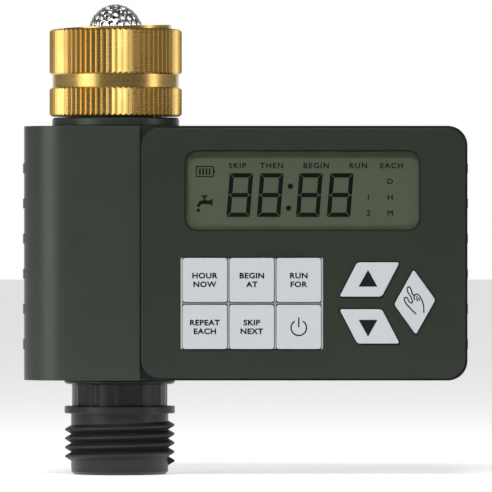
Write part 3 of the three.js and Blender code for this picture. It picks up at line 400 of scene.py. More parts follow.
def lathe(name, points, centre=(0.0, 0.0), steps=96, material=None, angle=30.0):
    """Turns a closed [radius, z] outline, in metres, about a vertical axis."""
    edit(profile(name, [*points, points[0]]))
    bpy.ops.mesh.select_all(action="SELECT")
    bpy.ops.mesh.spin(steps=steps, angle=2 * math.pi, center=(0, 0, 0), axis=(0, 0, 1))
    done()
    obj = tidy_normals(named(name, material))
    obj.location = (*centre, 0)
    return smooth(settle(obj), angle)


def text(name, words, height, centre, y, material, weight=0.0, wide=1.0, space=1.0):
    """A flat word facing the front, centred on [x, z], with capitals of a given height."""
    copies = []
    for step in range(8 if weight else 1):
        bpy.ops.object.select_all(action="DESELECT")
        bpy.ops.object.text_add(location=(0, 0, 0))
        obj = bpy.context.object
        obj.data.body = words
        obj.data.space_character = space
        obj.data.extrude = 0.01 * MM
        obj.data.resolution_u = 3
        bpy.ops.object.convert(target="MESH")
        obj = named(name, material)
        obj.scale = (wide * height / CAP_SHARE, height / CAP_SHARE, 1)
        turn = step * math.pi / 4
        obj.location = (weight * math.cos(turn), 0, weight * math.sin(turn))
        obj.rotation_euler = (math.pi / 2, 0, 0)
        copies.append(settle(obj))
    obj = joined(name, copies)
    low = Vector([min(v.co[i] for v in obj.data.vertices) for i in range(3)])
    high = Vector([max(v.co[i] for v in obj.data.vertices) for i in range(3)])
    middle = (low + high) / 2
    obj.location = (centre[0] - middle.x, y - middle.y, centre[1] - middle.z)
    return settle(obj)


CAP_SHARE = 0.73     # height of a capital over the size of the built-in font
PRINT = 0.02 * MM    # thickness of a drawn mark


# ------------------------------------------------------------------ housing

PANEL_ROUND = 4.85 * MM
COLUMN_ROUND = 11.5 * MM
SPLIT_FRONT = SHELL_HIGH.y
SPLIT_REAR = REAR_LOW.y
LEDGE_FRONT = BEZEL_LOW.y + 2.5 * MM
NUB_HEIGHT = 2.5 * MM
NUB_PITCH = 8.63 * MM
NUB_MIDDLE = TOP - 31.9 * MM
INLET_HOLE = 12.0 * MM
OUTLET_HOLE = 10.8 * MM


def housing_form(name, inset=0.0):
    """The whole housing as one block: round behind and before the column, round at the panel's corners."""
    obj = block(name, (LEFT + inset, FRONT + inset, BOTTOM + inset),
                (RIGHT - inset, BACK - inset, TOP - inset), HOUSING)
    round_edges(obj, along(1, lambda m: m.x > 0), PANEL_ROUND - inset, 12)
    round_edges(obj, along(2, lambda m: m.x < 0), COLUMN_ROUND - inset, 20)
    return obj


def grip_bars():
    """Six low rounded bars on each end of the housing."""
    bars = []
    for side in (-1, 1):
        for row in range(6):
            z = NUB_MIDDLE + (2.5 - row) * NUB_PITCH
            half = NUB_HEIGHT / 2
            if side < 0:
                bar = block("bar", (LEFT - NUB_PROUD, -15.5 * MM, z - half),
                            (LEFT + 8 * MM, 15.5 * MM, z + half), HOUSING)
                round_edges(bar, along(2, lambda m: m.x < LEFT), COLUMN_ROUND - 3.4 * MM, 14)
            else:
                bar = block("bar", (RIGHT - 2 * MM, -13 * MM, z - half),
                            (RIGHT + NUB_PROUD, 13 * MM, z + half), HOUSING)
                round_edges(bar, along(2, lambda m: m.x > RIGHT), 1.2 * MM, 6)
            bars.append(bar)
    return bars


def slice_between(low_y, high_y):
    """A slab wider and taller than the housing, to keep what lies between two depths."""
    return block("keep", (-0.1, low_y, -0.2), (0.2, high_y, 0.1))


def half_shell(name, low_y, high_y):
    """One half of the hollow housing, with its holes for the inlet and the outlet."""
    shell = housing_form(name)
    boolean(shell, slice_between(low_y, high_y), "INTERSECT")
    boolean(shell, housing_form("hollow", WALL))
    boolean(shell, cylinder("inlet_hole", INLET_HOLE, TOP - 4 * MM, TOP + 2 * MM, (0, 0)))
    boolean(shell, cylinder("outlet_hole", OUTLET_HOLE, BOTTOM - 2 * MM, BOTTOM + 4 * MM, (OUTLET_X, 0)))
    return shell


def add_bars(shell, low_y, high_y):
    parts = []
    for bar in grip_bars():
        parts.append(boolean(bar, slice_between(low_y, high_y), "INTERSECT"))
    for bar in parts:
        soften(bar, 0.22 * MM, 2)
    return joined(shell.name, [shell, *parts])


def front_shell():
    shell = half_shell("front_shell_form", FRONT - MM, SPLIT_FRONT)
    step = block("step", (BEZEL_LOW.x - 0.3 * MM, FRONT - 2 * MM, BOTTOM - MM),
                 (RIGHT + MM, LEDGE_FRONT, TOP + MM))
    boolean(shell, step)
    ledge = block("ledge", (BEZEL_LOW.x - 2 * MM, LEDGE_FRONT, BOTTOM + 0.6 * MM),
                  (RIGHT - 0.6 * MM, LEDGE_FRONT + 1.8 * MM, TOP - 0.6 * MM))
    round_edges(ledge, along(1, lambda m: m.x > 0.05), PANEL_ROUND - 0.6 * MM, 8)
    boolean(ledge, block("opening", (BEZEL_LOW.x + 3 * MM, LEDGE_FRONT - MM, BOTTOM + 3 * MM),
                         (RIGHT - 3 * MM, LEDGE_FRONT + 3 * MM, TOP - 3 * MM)))
    boolean(shell, ledge, "UNION")
    soften(shell, 0.55 * MM, 3)
    shell = add_bars(shell, FRONT - MM, SPLIT_FRONT)
    # the ledge's front faces, seen in the gap round the front plate, get the near-black finish as painted
    # shade
    shell.data.materials.append(PAINTED_SHADE)
    for face in shell.data.polygons:
        if face.normal.y < -0.9 and abs(face.center.y - LEDGE_FRONT) < 0.1 * MM:
            face.material_index = len(shell.data.materials) - 1
    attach(shell, "timer_body")
    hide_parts("front_shell")


def rear_shell():
    shell = half_shell("rear_shell_form", SPLIT_REAR, BACK + MM)
    well_low, well_high = WELL
    wall = 1.4 * MM
    box = block("well", (well_low.x - wall, well_low.y - wall, well_low.z - wall),
                (well_high.x + wall, BACK - MM, well_high.z + wall))
    box = boolean(box, housing_form("limit", 0.5 * MM), "INTERSECT")
    boolean(shell, box, "UNION")
    boolean(shell, block("hollow", well_low, (well_high.x, BACK + 5 * MM, well_high.z)))
    mouth = block("mouth", (TRAY_LOW.x - 0.25 * MM, BACK - 3.3 * MM, TRAY_LOW.z - 0.25 * MM),
                  (TRAY_HIGH.x + 0.25 * MM, BACK + 5 * MM, TRAY_HIGH.z + 0.25 * MM))
    round_edges(mouth, along(1), DOOR_ROUND + 0.25 * MM, 8)
    boolean(shell, mouth)
    for number in range(1, 5):
        low, high = corners(f"housing_screw_{number}")
        centre = ((low.x + high.x) / 2, (low.z + high.z) / 2)
        seat = high.y - 1.9 * MM
        boolean(shell, cylinder("sink", 2.6 * MM, seat, BACK + 2 * MM, centre, "Y", 40))
        boss = cylinder("boss", 3.2 * MM, seat - 6 * MM, seat, centre, "Y", 40)
        boolean(boss, cylinder("bore", 1.5 * MM, seat - 9 * MM, seat + MM, centre, "Y", 24))
        boolean(boss, housing_form("limit", 0.6 * MM), "INTERSECT")
        boolean(shell, boss, "UNION")
    soften(shell, 0.45 * MM, 3)
    shell = add_bars(shell, SPLIT_REAR, BACK + MM)
    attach(shell, "timer_body")
    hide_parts("rear_shell")


DOOR_ROUND = 3.5 * MM
TRAY_OVERHANG = 1.3 * MM
WELL = (
    Vector((TRAY_LOW.x + TRAY_OVERHANG - 0.3 * MM, TRAY_LOW.y - 0.3 * MM,
            TRAY_LOW.z + TRAY_OVERHANG - 0.3 * MM)),
    Vector((TRAY_HIGH.x - TRAY_OVERHANG + 0.3 * MM, BACK, TRAY_HIGH.z - TRAY_OVERHANG + 0.3 * MM)),
)


def collar():
    low, high = COLLAR_LOW, COLLAR_HIGH
    radius = (high.x - low.x) / 2
    rim = TOP + 0.3 * MM
    inner = 10.1 * MM
    points = [(inner, low.z), (11.7 * MM, low.z), (11.7 * MM, rim), (radius, rim),
              (radius, high.z - 0.4 * MM), (radius - 0.4 * MM, high.z), (inner, high.z)]
    obj = lathe("inlet_collar_form", points, steps=128, material=HOUSING)
    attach(obj, "timer_body")
    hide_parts("inlet_collar")


# ------------------------------------------------------------------ control panel

def bezel():
    """The raised front plate with its window opening and key openings."""
    plate = block("front_bezel_form", BEZEL_LOW, (BEZEL_HIGH.x, BEZEL_LOW.y + 2.2 * MM, BEZEL_HIGH.z),
                  PANEL)
    round_edges(plate, along(1), 4.6 * MM, 14)
    low, high = OPENING
    # the window sits in a shallow dished frame, wider at the front than at the glass
    dish = block("dish", (low.x - 0.55 * MM, BEZEL_LOW.y - MM, low.z - 0.55 * MM),
                 (high.x + 0.55 * MM, BEZEL_LOW.y + 0.55 * MM, high.z + 0.55 * MM))
    round_edges(dish, along(1), WINDOW_ROUND + 0.55 * MM, 10)
    boolean(plate, dish)
    hole = block("hole", (low.x, BEZEL_LOW.y - MM, low.z), (high.x, BEZEL_LOW.y + 4 * MM, high.z))
    round_edges(hole, along(1), WINDOW_ROUND, 10)
    boolean(plate, hole)
    rebate = block("rebate", (PANE_LOW.x - 0.3 * MM, PANE_LOW.y - 0.25 * MM, PANE_LOW.z - 0.3 * MM),
                   (PANE_HIGH.x + 0.3 * MM, BEZEL_LOW.y + 4 * MM, PANE_HIGH.z + 0.3 * MM))
    boolean(plate, rebate)
    gap = 0.22 * MM
    rim = 0.55 * MM
    grid_low, grid_high = grid_corners()
    grid = block("grid", (grid_low.x - rim, BEZEL_LOW.y - MM, grid_low.z - gap),
                 (grid_high.x + rim, BEZEL_LOW.y + 4 * MM, grid_high.z + gap))
    round_edges(grid, along(1), 0.8 * MM, 5)
    boolean(plate, grid)
    for name in SHAPED_KEYS:
        boolean(plate, key_form(name, gap, BEZEL_LOW.y - MM, BEZEL_LOW.y + 4 * MM))
    soften(plate, 0.2 * MM, 3)
    # a thin near-black frame just inside the window's dish: painted shade of the recess wall round the window
    margin, floor = 0.5 * MM, BEZEL_LOW.y + 0.47 * MM
    painted_shade_frame = block("painted_shade_frame", (low.x - margin, floor, low.z - margin),
                   (high.x + margin, floor + 0.12 * MM, high.z + margin), PAINTED_SHADE)
    round_edges(painted_shade_frame, along(1), WINDOW_ROUND + margin, 10)
    inner = block("inner", (low.x, floor - MM, low.z), (high.x, floor + MM, high.z))
    round_edges(inner, along(1), WINDOW_ROUND, 10)
    boolean(painted_shade_frame, inner)
    plate = joined("front_bezel_form", [plate, painted_shade_frame])
    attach(plate, "timer_body")
    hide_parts("front_bezel")


WINDOW_ROUND = 2.6 * MM
LIP = 1.2 * MM
OPENING = (
    Vector((PANE_LOW.x + LIP, 0, PANE_LOW.z + LIP)),
    Vector((PANE_HIGH.x - LIP, 0, PANE_HIGH.z - LIP)),
)
GRID_KEYS = ["key_set_clock", "key_start_time", "key_how_long", "key_how_often", "key_rain_delay",
             "key_power"]
SHAPED_KEYS = ["key_up", "key_down", "key_manual"]
KEY_FRONT = corners("key_power")[0].y
CAP_DEPTH = 1.4 * MM
KEY_ROUND = 0.65 * MM
CORNER_REACH = 0.42 * MM    # how far a key's sharp corner stands past its rounding


def grid_corners():
    """The lowest and highest corners of the six square keys together."""
    lows, highs = zip(*(corners(name) for name in GRID_KEYS))
    return Vector([min(axis) for axis in zip(*lows)]), Vector([max(axis) for axis in zip(*highs)])


def cap_corners(name):
    """Corner points [x, z] of a key's face, anticlockwise from the front."""
    low, high = corners(name)
    if name in GRID_KEYS:
        return [(low.x, low.z), (high.x, low.z), (high.x, high.z), (low.x, high.z)]
    if name == "key_manual":
        x, z = (low.x + high.x) / 2, (low.z + high.z) / 2
        half_x, half_z = (high.x - low.x) / 2, (high.z - low.z) / 2
        skew_x, skew_z = 0.28 * MM, 0.58 * MM
        return [(x + skew_x, z - half_z - CORNER_REACH), (x + half_x + 0.12 * MM, z + skew_z),
                (x - skew_x, z + half_z + CORNER_REACH), (x - half_x - 0.12 * MM, z - skew_z)]
    lean = 4.35 * MM
    near, far = low.x - CORNER_REACH, high.x + CORNER_REACH
    if name == "key_up":
        return [(near, low.z), (far - lean, low.z), (far, high.z), (near + lean, high.z)]
    return [(near + lean, low.z), (far, low.z), (far - lean, high.z), (near, high.z)]


CORNER_ORDER = {(False, False): 0, (True, False): 1, (True, True): 2, (False, True): 3}


def key_form(name, margin, front, back, material=None):
    """A prism of a key's outline with round corners, grown by a margin."""
    points = [Vector(p) for p in cap_corners(name)]
    bpy.ops.object.select_all(action="DESELECT")
    bpy.ops.mesh.primitive_cube_add(size=1.0)
    obj = named("form", material)
    mesh = obj.data
    for vertex in mesh.vertices:
        index = CORNER_ORDER[vertex.co.x > 0, vertex.co.z > 0]
        here, before, after = points[index], points[index - 1], points[(index + 1) % 4]
        first, second = (here - before).normalized(), (after - here).normalized()
        outward = Vector((first.y + second.y, -first.x - second.x)).normalized()
        reach = margin / outward.dot(Vector((first.y, -first.x)))
        y = front if vertex.co.y < 0 else back
        vertex.co = (here.x + outward.x * reach, y, here.y + outward.y * reach)
    return round_edges(obj, lambda a, b: abs((b - a).y) > 0.5 * (back - front), KEY_ROUND + margin, 6)


def legend_group(name, parts, body):
    made = joined(name, parts)
    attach(made, body)


def hand_mark(x, z, y):
    """A plain pointing hand in an even line: a raised finger, a thumb, curled fingers and an open wrist."""
    strokes = [
        [(0.3, -2.9), (-1.2, -1.4), (-2.4, 0.15), (-2.5, 1.0), (-1.95, 1.1), (-1.4, 0.15),
         (-0.7, -0.15), (-0.8, 0.85), (-1.85, 3.2), (-1.6, 3.7), (-1.15, 3.5), (-0.25, 1.7),
         (0.5, 1.95), (1.2, 1.4), (1.7, 0.5), (2.1, -0.7), (2.2, -2.6)],
        [(-0.25, 1.7), (-0.05, 0.5)], [(0.5, 1.4), (0.55, 0.25)], [(1.0, 1.0), (1.1, 0.3)],
    ]
    return [line_mark([(x + a * MM, z + b * MM) for a, b in stroke], y, 0.3 * MM) for stroke in strokes]


def line_mark(points, y, width):
    """A flat line of even width through [x, z] points, smoothly rounded."""
    bpy.ops.object.select_all(action="DESELECT")
    bpy.ops.curve.primitive_nurbs_path_add()
    curve = bpy.context.object
    data = curve.data
    data.splines.clear()
    spline = data.splines.new("BEZIER")
    spline.bezier_points.add(len(points) - 1)
    for knot, (px, pz) in zip(spline.bezier_points, points):
        knot.co = (px, y, pz)
        knot.handle_left_type = knot.handle_right_type = "AUTO"
    data.dimensions = "3D"
    data.bevel_depth = width / 2
    data.bevel_resolution = 2
    data.use_fill_caps = True
    data.resolution_u = 8
    bpy.ops.object.convert(target="MESH")
    obj = named("line", LEGEND)
    obj.data.transform(flatten(y))
    return obj


def flatten(y):
    """A matrix that squeezes a drawn line to the thickness of a print at depth y."""
    return Matrix.Translation((0, y, 0)) @ Matrix.Diagonal((1, 0.08, 1, 1)) @ Matrix.Translation((0, -y, 0))


def power_mark(x, z, y):
    radius = 1.88 * MM
    start, end = math.radians(122), math.radians(418)
    steps = 20
    arc = [(x + radius * math.cos(start + (end - start) * i / steps),
            z + radius * math.sin(start + (end - start) * i / steps)) for i in range(steps + 1)]
    return [line_mark(arc, y, 0.34 * MM), line_mark([(x, z + 2.5 * MM), (x, z + 0.1 * MM)], y, 0.34 * MM)]


def triangle_mark(x, z, y, up):
    """A solid triangle pointing up or down."""
    width, height = 4.6 * MM, 4.1 * MM
    bpy.ops.object.select_all(action="DESELECT")
    bpy.ops.mesh.primitive_cylinder_add(vertices=3, radius=1.0, depth=PRINT)
    obj = named("triangle", LEGEND)
    obj.rotation_euler = (math.pi / 2, 0, 0)
    settle(obj)
    obj.rotation_euler = (0, 0 if up else math.pi, 0)
    obj.scale = (width / math.sqrt(3), 1, height / 1.5)
    obj.location = (x, y, z - (1 if up else -1) * height / 6)
    return settle(obj)


LEGENDS = {
    "key_set_clock": ["HOUR", "NOW"], "key_start_time": ["BEGIN", "AT"], "key_how_long": ["RUN", "FOR"],
    "key_how_often": ["REPEAT", "EACH"], "key_rain_delay": ["SKIP", "NEXT"],
}


def keys():
    ink_y = KEY_FRONT + 0.03 * MM
    for name in GRID_KEYS + SHAPED_KEYS:
        cap = key_form(name, 0.0, KEY_FRONT + 0.05 * MM, KEY_FRONT + CAP_DEPTH, KEY)
        soften(cap, 0.2 * MM, 4, 40)
        cap.name = cap.data.name = f"{name}_form"
        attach(cap, f"{name}_cap")
        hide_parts(name)
        low, high = corners(name)
        x, z = (low.x + high.x) / 2, (low.z + high.z) / 2
        if name in LEGENDS:
            marks = [text("word", word, 1.36 * MM, (x, z + (1.06 if row == 0 else -1.06) * MM), ink_y, LEGEND,
                          0.065 * MM, 1.12, 1.06) for row, word in enumerate(LEGENDS[name])]
        elif name == "key_power":
            marks = power_mark(x, z - 0.2 * MM, ink_y)
        elif name == "key_manual":
            marks = hand_mark(x, z, ink_y)
        else:
            up = name == "key_up"
            marks = [triangle_mark(x - 0.37 * MM, z + (0.3 if up else -0.45) * MM, ink_y, up)]
        legend_group(f"{name}_legend", marks, f"{name}_cap")


def keypad_web():
    """The silicone sheet behind the keys, standing between them as a thin raised web."""
    low, high = MAT_LOW, MAT_HIGH
    back = BEZEL_LOW.y + 2.5 * MM
    sheet = block("keypad_web", (low.x, back, low.z), (high.x, high.y, high.z), WEB)
    grid_low, grid_high = grid_corners()
    parts = [sheet]
    face = BEZEL_LOW.y + 0.1 * MM
    first, second = corners("key_set_clock")
    pitch = corners("key_start_time")[0].x - first.x
    half = 0.17 * MM
    for column in (1, 2):
        x = first.x + column * pitch - (pitch - (second.x - first.x)) / 2
        parts.append(block("rib", (x - half, face, grid_low.z), (x + half, back + 0.2 * MM, grid_high.z),
                           WEB))
    z = (corners("key_power")[1].z + corners("key_how_long")[0].z) / 2
    parts.append(block("rib", (grid_low.x, face, z - half), (grid_high.x, back + 0.2 * MM, z + half), WEB))
    parts.append(block("floor", (grid_low.x, BEZEL_LOW.y + 1.9 * MM, grid_low.z),
                       (grid_high.x, back + 0.2 * MM, grid_high.z), WEB))
    for side in (-1, 1):
        edge = grid_low.x - 0.28 * MM if side < 0 else grid_high.x + 0.28 * MM
        parts.append(block("rim", (edge - 0.21 * MM, face, grid_low.z - 0.15 * MM),
                           (edge + 0.21 * MM, back + 0.2 * MM, grid_high.z + 0.15 * MM), WEB))
    for part in parts:
        soften(part, 0.06 * MM, 2)
    web = joined("keypad_web", parts)
    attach(web, "timer_body")
    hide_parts("keypad_mat")


# ------------------------------------------------------------------ display

def display():
    pane = block("display_window_form", PANE_LOW, PANE_HIGH, CLEAR)
    round_edges(pane, along(1), WINDOW_ROUND + LIP, 10)
    soften(pane, 0.12 * MM, 2)
    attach(pane, "timer_body")
    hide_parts("display_window")
    face = block("display_glass_form", GLASS_LOW, GLASS_HIGH, DISPLAY)
    soften(face, 0.15 * MM, 2)
    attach(face, "timer_body")
    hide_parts("display_glass")
    marks = joined("display_marks", [*digits(), *captions(), *battery_icon(), *tap_icon()])
    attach(marks, "timer_body")


SEGMENT_Y = GLASS_LOW.y - 0.03 * MM
DIGIT = {"width": 5.75 * MM, "height": 10.7 * MM, "stroke": 1.06 * MM, "lean": math.tan(math.radians(4.5)),
         "gap": 0.09 * MM}


# where each corner of a hexagon goes in a bar: along it and across it, by its angle
SPREAD = {30: (0.5, 1), 90: (1, 0), 150: (0.5, -1), 210: (-0.5, -1), 270: (-1, 0), 330: (-0.5, 1)}


def bar_mark(x0, z0, x1, z1, width):
    """A straight bar from one [x, z] point to another, with square ends."""
    run = Vector((x1 - x0, z1 - z0))
    bpy.ops.object.select_all(action="DESELECT")
    bpy.ops.mesh.primitive_cylinder_add(vertices=6, radius=1.0, depth=PRINT)
    obj = named("segment", SEGMENT)
    ahead = run.normalized()
    side = Vector((-ahead.y, ahead.x))
    length = run.length
    for vertex in obj.data.vertices:
        turn = round(math.degrees(math.atan2(vertex.co.y, vertex.co.x))) % 360
        spread = SPREAD[turn]
        end = ahead * (length / 2 * (1 if spread[0] > 0 else -1))
        place = Vector(((x0 + x1) / 2, (z0 + z1) / 2)) + end + side * (spread[1] * width / 2)
        vertex.co = (place.x, SEGMENT_Y + vertex.co.z, place.y)
    return tidy_normals(obj, 1e-9)


def plate_mark(points):
    """A flat dark plate through [x, z] points."""
    obj = profile("plate", [*points, points[0]])
    edit(obj)
    bpy.ops.mesh.select_all(action="SELECT")
    bpy.ops.mesh.remove_doubles(threshold=1e-7)
    bpy.ops.mesh.edge_face_add()
    done()
    apply(obj, "SOLIDIFY", thickness=PRINT, offset=0)
    obj.location = (0, SEGMENT_Y, 0)
    obj.data.materials.append(SEGMENT)
    return settle(obj)


def digits():
    """Two pairs of seven-segment eights with a colon, all leaning a little, with mitred segments."""
    base = WINDOW_Z - 6.4 * MM
    wide, tall, stroke, gap, lean = (DIGIT[key] for key in ("width", "height", "stroke", "gap", "lean"))
    half = tall / 2
    flat = [(gap, 0), (wide - gap, 0), (wide - stroke - gap, stroke), (stroke + gap, stroke)]
    upright = [(0, gap), (stroke, stroke + gap), (stroke, half - stroke / 2 - gap),
               (0.45 * stroke, half - gap), (0, half - gap)]
    bar = [(stroke / 2 + gap, half), (stroke + gap, half - stroke / 2),
           (wide - stroke - gap, half - stroke / 2),
           (wide - stroke / 2 - gap, half), (wide - stroke - gap, half + stroke / 2),
           (stroke + gap, half + stroke / 2)]
    marks = []
    for centre in (-15.8, -8.35, 1.2, 8.75):
        left = WINDOW_X + centre * MM - wide / 2
        shapes = [bar]
        for turn in (False, True):
            shapes.append([(a, tall - b) if turn else (a, b) for a, b in flat])
            for mirror in (False, True):
                shapes.append([(wide - a if mirror else a, tall - b if turn else b) for a, b in upright])
        for shape in shapes:
            marks.append(plate_mark([(left + a + b * lean, base + b) for a, b in shape]))
    for height in (2.15, 7.5):
        marks.append(dot_mark(WINDOW_X + (-3.6 + height * lean) * MM, base + height * MM, 0.68 * MM))
    return marks


def dot_mark(x, z, radius):
    return cylinder("dot", radius, SEGMENT_Y - 0.01 * MM, SEGMENT_Y + 0.01 * MM, (x, z), "Y", 20, SEGMENT)


def captions():
    """Small words along the top of the display and units beside the digits, placed from its middle."""
    rows = [("SKIP", -15.95, 6.15), ("THEN", -7.6, 6.15), ("BEGIN", 3.3, 6.15), ("RUN", 13.6, 6.15),
            ("EACH", 21.75, 6.15), ("D", 21.4, 2.3),
            ("1", 16.05, -1.6), ("H", 21.4, -1.6), ("2", 16.05, -5.45), ("M", 21.4, -5.45)]
    return [text("caption", word, 1.34 * MM, (WINDOW_X + x * MM, WINDOW_Z + z * MM),
                 SEGMENT_Y, SEGMENT, 0.035 * MM, wide=1.08, space=1.2)
            for word, x, z in rows]


def battery_icon():
    """A battery lying on its side: an outline, four bars of charge and a small pole on the right."""
    x0, x1 = WINDOW_X - 26.0 * MM, WINDOW_X - 21.85 * MM
    z0, z1 = WINDOW_Z + 3.45 * MM, WINDOW_Z + 5.95 * MM
    width = 0.26 * MM
    sides = [((x0, z0), (x1, z0)), ((x0, z1), (x1, z1)), ((x0, z0), (x0, z1)), ((x1, z0), (x1, z1))]
    marks = [bar_mark(*a, *b, width) for a, b in sides]
    for cell in range(4):
        x = x0 + cell * 0.79 * MM + 0.88 * MM
        marks.append(bar_mark(x, z0 + 0.45 * MM, x, z1 - 0.45 * MM, 0.4 * MM))
    marks.append(bar_mark(x1 + 0.2 * MM, z0 + 0.8 * MM, x1 + 0.2 * MM, z1 - 0.8 * MM, 0.3 * MM))
    return marks


def tap_icon():
    """A small tap: handle bar, stem, body with its spout turned down on the left, wall flange and a drop."""
    x, z = WINDOW_X - 24.0 * MM, WINDOW_Z - 3.0 * MM
    parts = [((-0.75, 1.7), (0.75, 1.7), 0.4), ((0, 1.7), (0, 0.5), 0.5), ((-0.9, 0.2), (1.6, 0.2), 0.95),
             ((-0.85, 0.35), (-1.6, -0.85), 0.75), ((1.75, 1.0), (1.75, -0.6), 0.45)]
    marks = [bar_mark(x + a * MM, z + b * MM, x + c * MM, z + d * MM, w * MM)
             for (a, b), (c, d), w in parts]
    marks.append(dot_mark(x - 1.5 * MM, z - 1.75 * MM, 0.42 * MM))
    return marks


# ------------------------------------------------------------------ inlet

NUT_RADIUS = (NUT_HIGH.x - NUT_LOW.x) / 2
TEETH = 72
TOOTH = 0.42 * MM
THREAD_PITCH = 2.209 * MM


def knurled_ring(name, low, high):
    """A band of upright V teeth, chamfered at both rims so that the teeth end in a zigzag."""
    chamfer, body = 0.55 * MM, NUT_RADIUS - 1.5 * MM
    outline = [(body, low), (NUT_RADIUS - chamfer, low), (NUT_RADIUS, low + chamfer),
               (NUT_RADIUS, high - chamfer),
               (NUT_RADIUS - chamfer, high), (body, high)]
    ring = lathe(name, outline, steps=2 * TEETH, material=BRASS)
    valley = NUT_RADIUS - TOOTH
    for vertex in ring.data.vertices:
        angle = math.atan2(vertex.co.y, vertex.co.x)
        radius = math.hypot(vertex.co.x, vertex.co.y)
        if round(angle * TEETH / math.pi) % 2 and radius > valley + 0.1 * MM:
            outward = 1 if vertex.co.z > (low + high) / 2 else -1
            vertex.co = (vertex.co.x * valley / radius, vertex.co.y * valley / radius,
                         vertex.co.z + outward * TOOTH)
    return smooth(ring, 8)


def inner_thread(name, crest, root, low, turns, material, centre=(0.0, 0.0), steps=64):
    """A helical ridge from root to crest radius: one tooth outline swept by a Screw modifier."""
    land = 0.1 * THREAD_PITCH
    base = root + (0.2 * MM if root > crest else -0.2 * MM)
    points = [(base, low), (root, low), (crest, low + THREAD_PITCH / 2 - land),
              (crest, low + THREAD_PITCH / 2 + land),
              (root, low + THREAD_PITCH - 0.02 * MM), (base, low + THREAD_PITCH - 0.02 * MM)]
    obj = profile(name, [*points, points[0]])
    edit(obj)
    bpy.ops.mesh.select_all(action="SELECT")
    bpy.ops.mesh.remove_doubles(threshold=1e-7)
    done()
    apply(obj, "SCREW", angle=2 * math.pi, screw_offset=THREAD_PITCH, iterations=turns, steps=steps,
          render_steps=steps, use_merge_vertices=False, use_normal_calculate=True)
    edit(obj, "EDGE")
    bpy.ops.mesh.select_all(action="DESELECT")
    bpy.ops.mesh.select_non_manifold()
    bpy.ops.mesh.edge_face_add()
    bpy.ops.mesh.select_all(action="SELECT")
    bpy.ops.mesh.normals_make_consistent(inside=False)
    done()
    obj.location = (*centre, 0)
    obj.data.materials.append(material)
    return smooth(settle(obj), 25)


def inlet_nut():
    top, bottom = NUT_HIGH.z, NUT_LOW.z
    groove_top, groove_bottom = -0.7 * MM, -3.85 * MM
    body = NUT_RADIUS - 0.72 * MM
    bore = 13.45 * MM
    outline = [
        (bore, top - 0.5 * MM), (bore + 0.55 * MM, top), (body - 0.1 * MM, top), (body, top - 0.1 * MM),
        (body, bottom + 0.15 * MM), (body - 0.15 * MM, bottom),
        (13.3 * MM, bottom), (13.3 * MM, bottom + 2.8 * MM),
        (10.2 * MM, bottom + 2.8 * MM), (10.2 * MM, -5.6 * MM), (bore, -5.6 * MM),
    ]
    core = lathe("core", outline, steps=144, material=BRASS)
    upper = knurled_ring("upper", groove_top, top - 0.02 * MM)
    lower = knurled_ring("lower", bottom + 0.02 * MM, groove_bottom)
    ridge = inner_thread("ridge", 12.35 * MM, bore + 0.05 * MM, 0.6 * MM, 4, BRASS)
    nut = joined("inlet_nut_form", [core, upper, lower, ridge])
    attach(nut, "nut")
    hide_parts("inlet_nut")


def inlet_filter():
    """A thimble of bright perforated sheet: round holes in staggered rows, thin webs between them."""
    radius = 6.8 * MM
    centre = FILTER_HIGH.z - radius
    bpy.ops.object.select_all(action="DESELECT")
    bpy.ops.mesh.primitive_ico_sphere_add(subdivisions=3, radius=radius - 0.08 * MM, location=(0, 0, 0),
                                          rotation=(0, 0, 0.3))
    dome = settle(named("inlet_filter_form", MESH_STEEL))
    edit(dome)
    bpy.ops.mesh.select_all(action="SELECT")
    bpy.ops.mesh.bevel(offset_pct=40.0, offset_type="PERCENT", segments=1, affect="VERTICES")
    bpy.ops.mesh.select_mode(type="FACE")
    bpy.ops.mesh.select_all(action="DESELECT")
    done()
    for face in dome.data.polygons:
        face.select = is_hole(face, dome.data) or face.center.z < -2.8 * MM
    edit_keep(dome)
    bpy.ops.mesh.delete(type="FACE")
    done()
    apply(dome, "SOLIDIFY", thickness=0.32 * MM, offset=-1.0)
    apply(dome, "SUBSURF", levels=2, render_levels=2)
    dome.location = (0, 0, centre)
    settle(dome)
    inner = radius - 0.45 * MM
    brim = 9.2 * MM
    low = FILTER_LOW.z
    wall = lathe("wall", [(inner, centre - 2.6 * MM), (inner, low), (brim, low), (brim, low + 0.5 * MM),
                          (radius - 0.05 * MM, low + 0.5 * MM), (radius - 0.05 * MM, centre - 2.6 * MM)],
                          steps=64, material=MESH_STEEL)
    thimble = joined("inlet_filter_form", [smooth(dome, 50), wall])
    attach(thimble, "filter_unit")
    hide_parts("inlet_filter")


def is_hole(face, mesh):
    """A bevelled corner's own face, whose edges are all short and alike."""
    points = [mesh.vertices[i].co for i in face.vertices]
    lengths = [(points[i] - points[i - 1]).length for i in range(len(points))]
    return max(lengths) < 1.35 * min(lengths)


def edit_keep(obj):
    """Enters face editing with the selection made in object mode."""
    lone(obj)
    bpy.context.tool_settings.mesh_select_mode = (False, False, True)
    bpy.ops.object.mode_set(mode="EDIT")


def washer():
    low, high = corners("inlet_washer")
    radius = (high.x - low.x) / 2
    rebate = 9.5 * MM
    points = [(7.1 * MM, high.z - 0.3 * MM), (7.4 * MM, high.z), (radius - 0.3 * MM, high.z),
              (radius, high.z - 0.3 * MM),
              (radius, low.z), (rebate, low.z), (rebate, low.z + 0.8 * MM), (7.1 * MM, low.z + 0.8 * MM)]
    obj = lathe("inlet_washer_form", points, steps=96, material=RUBBER)
    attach(obj, "filter_unit")
    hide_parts("inlet_washer")


# ------------------------------------------------------------------ outlet

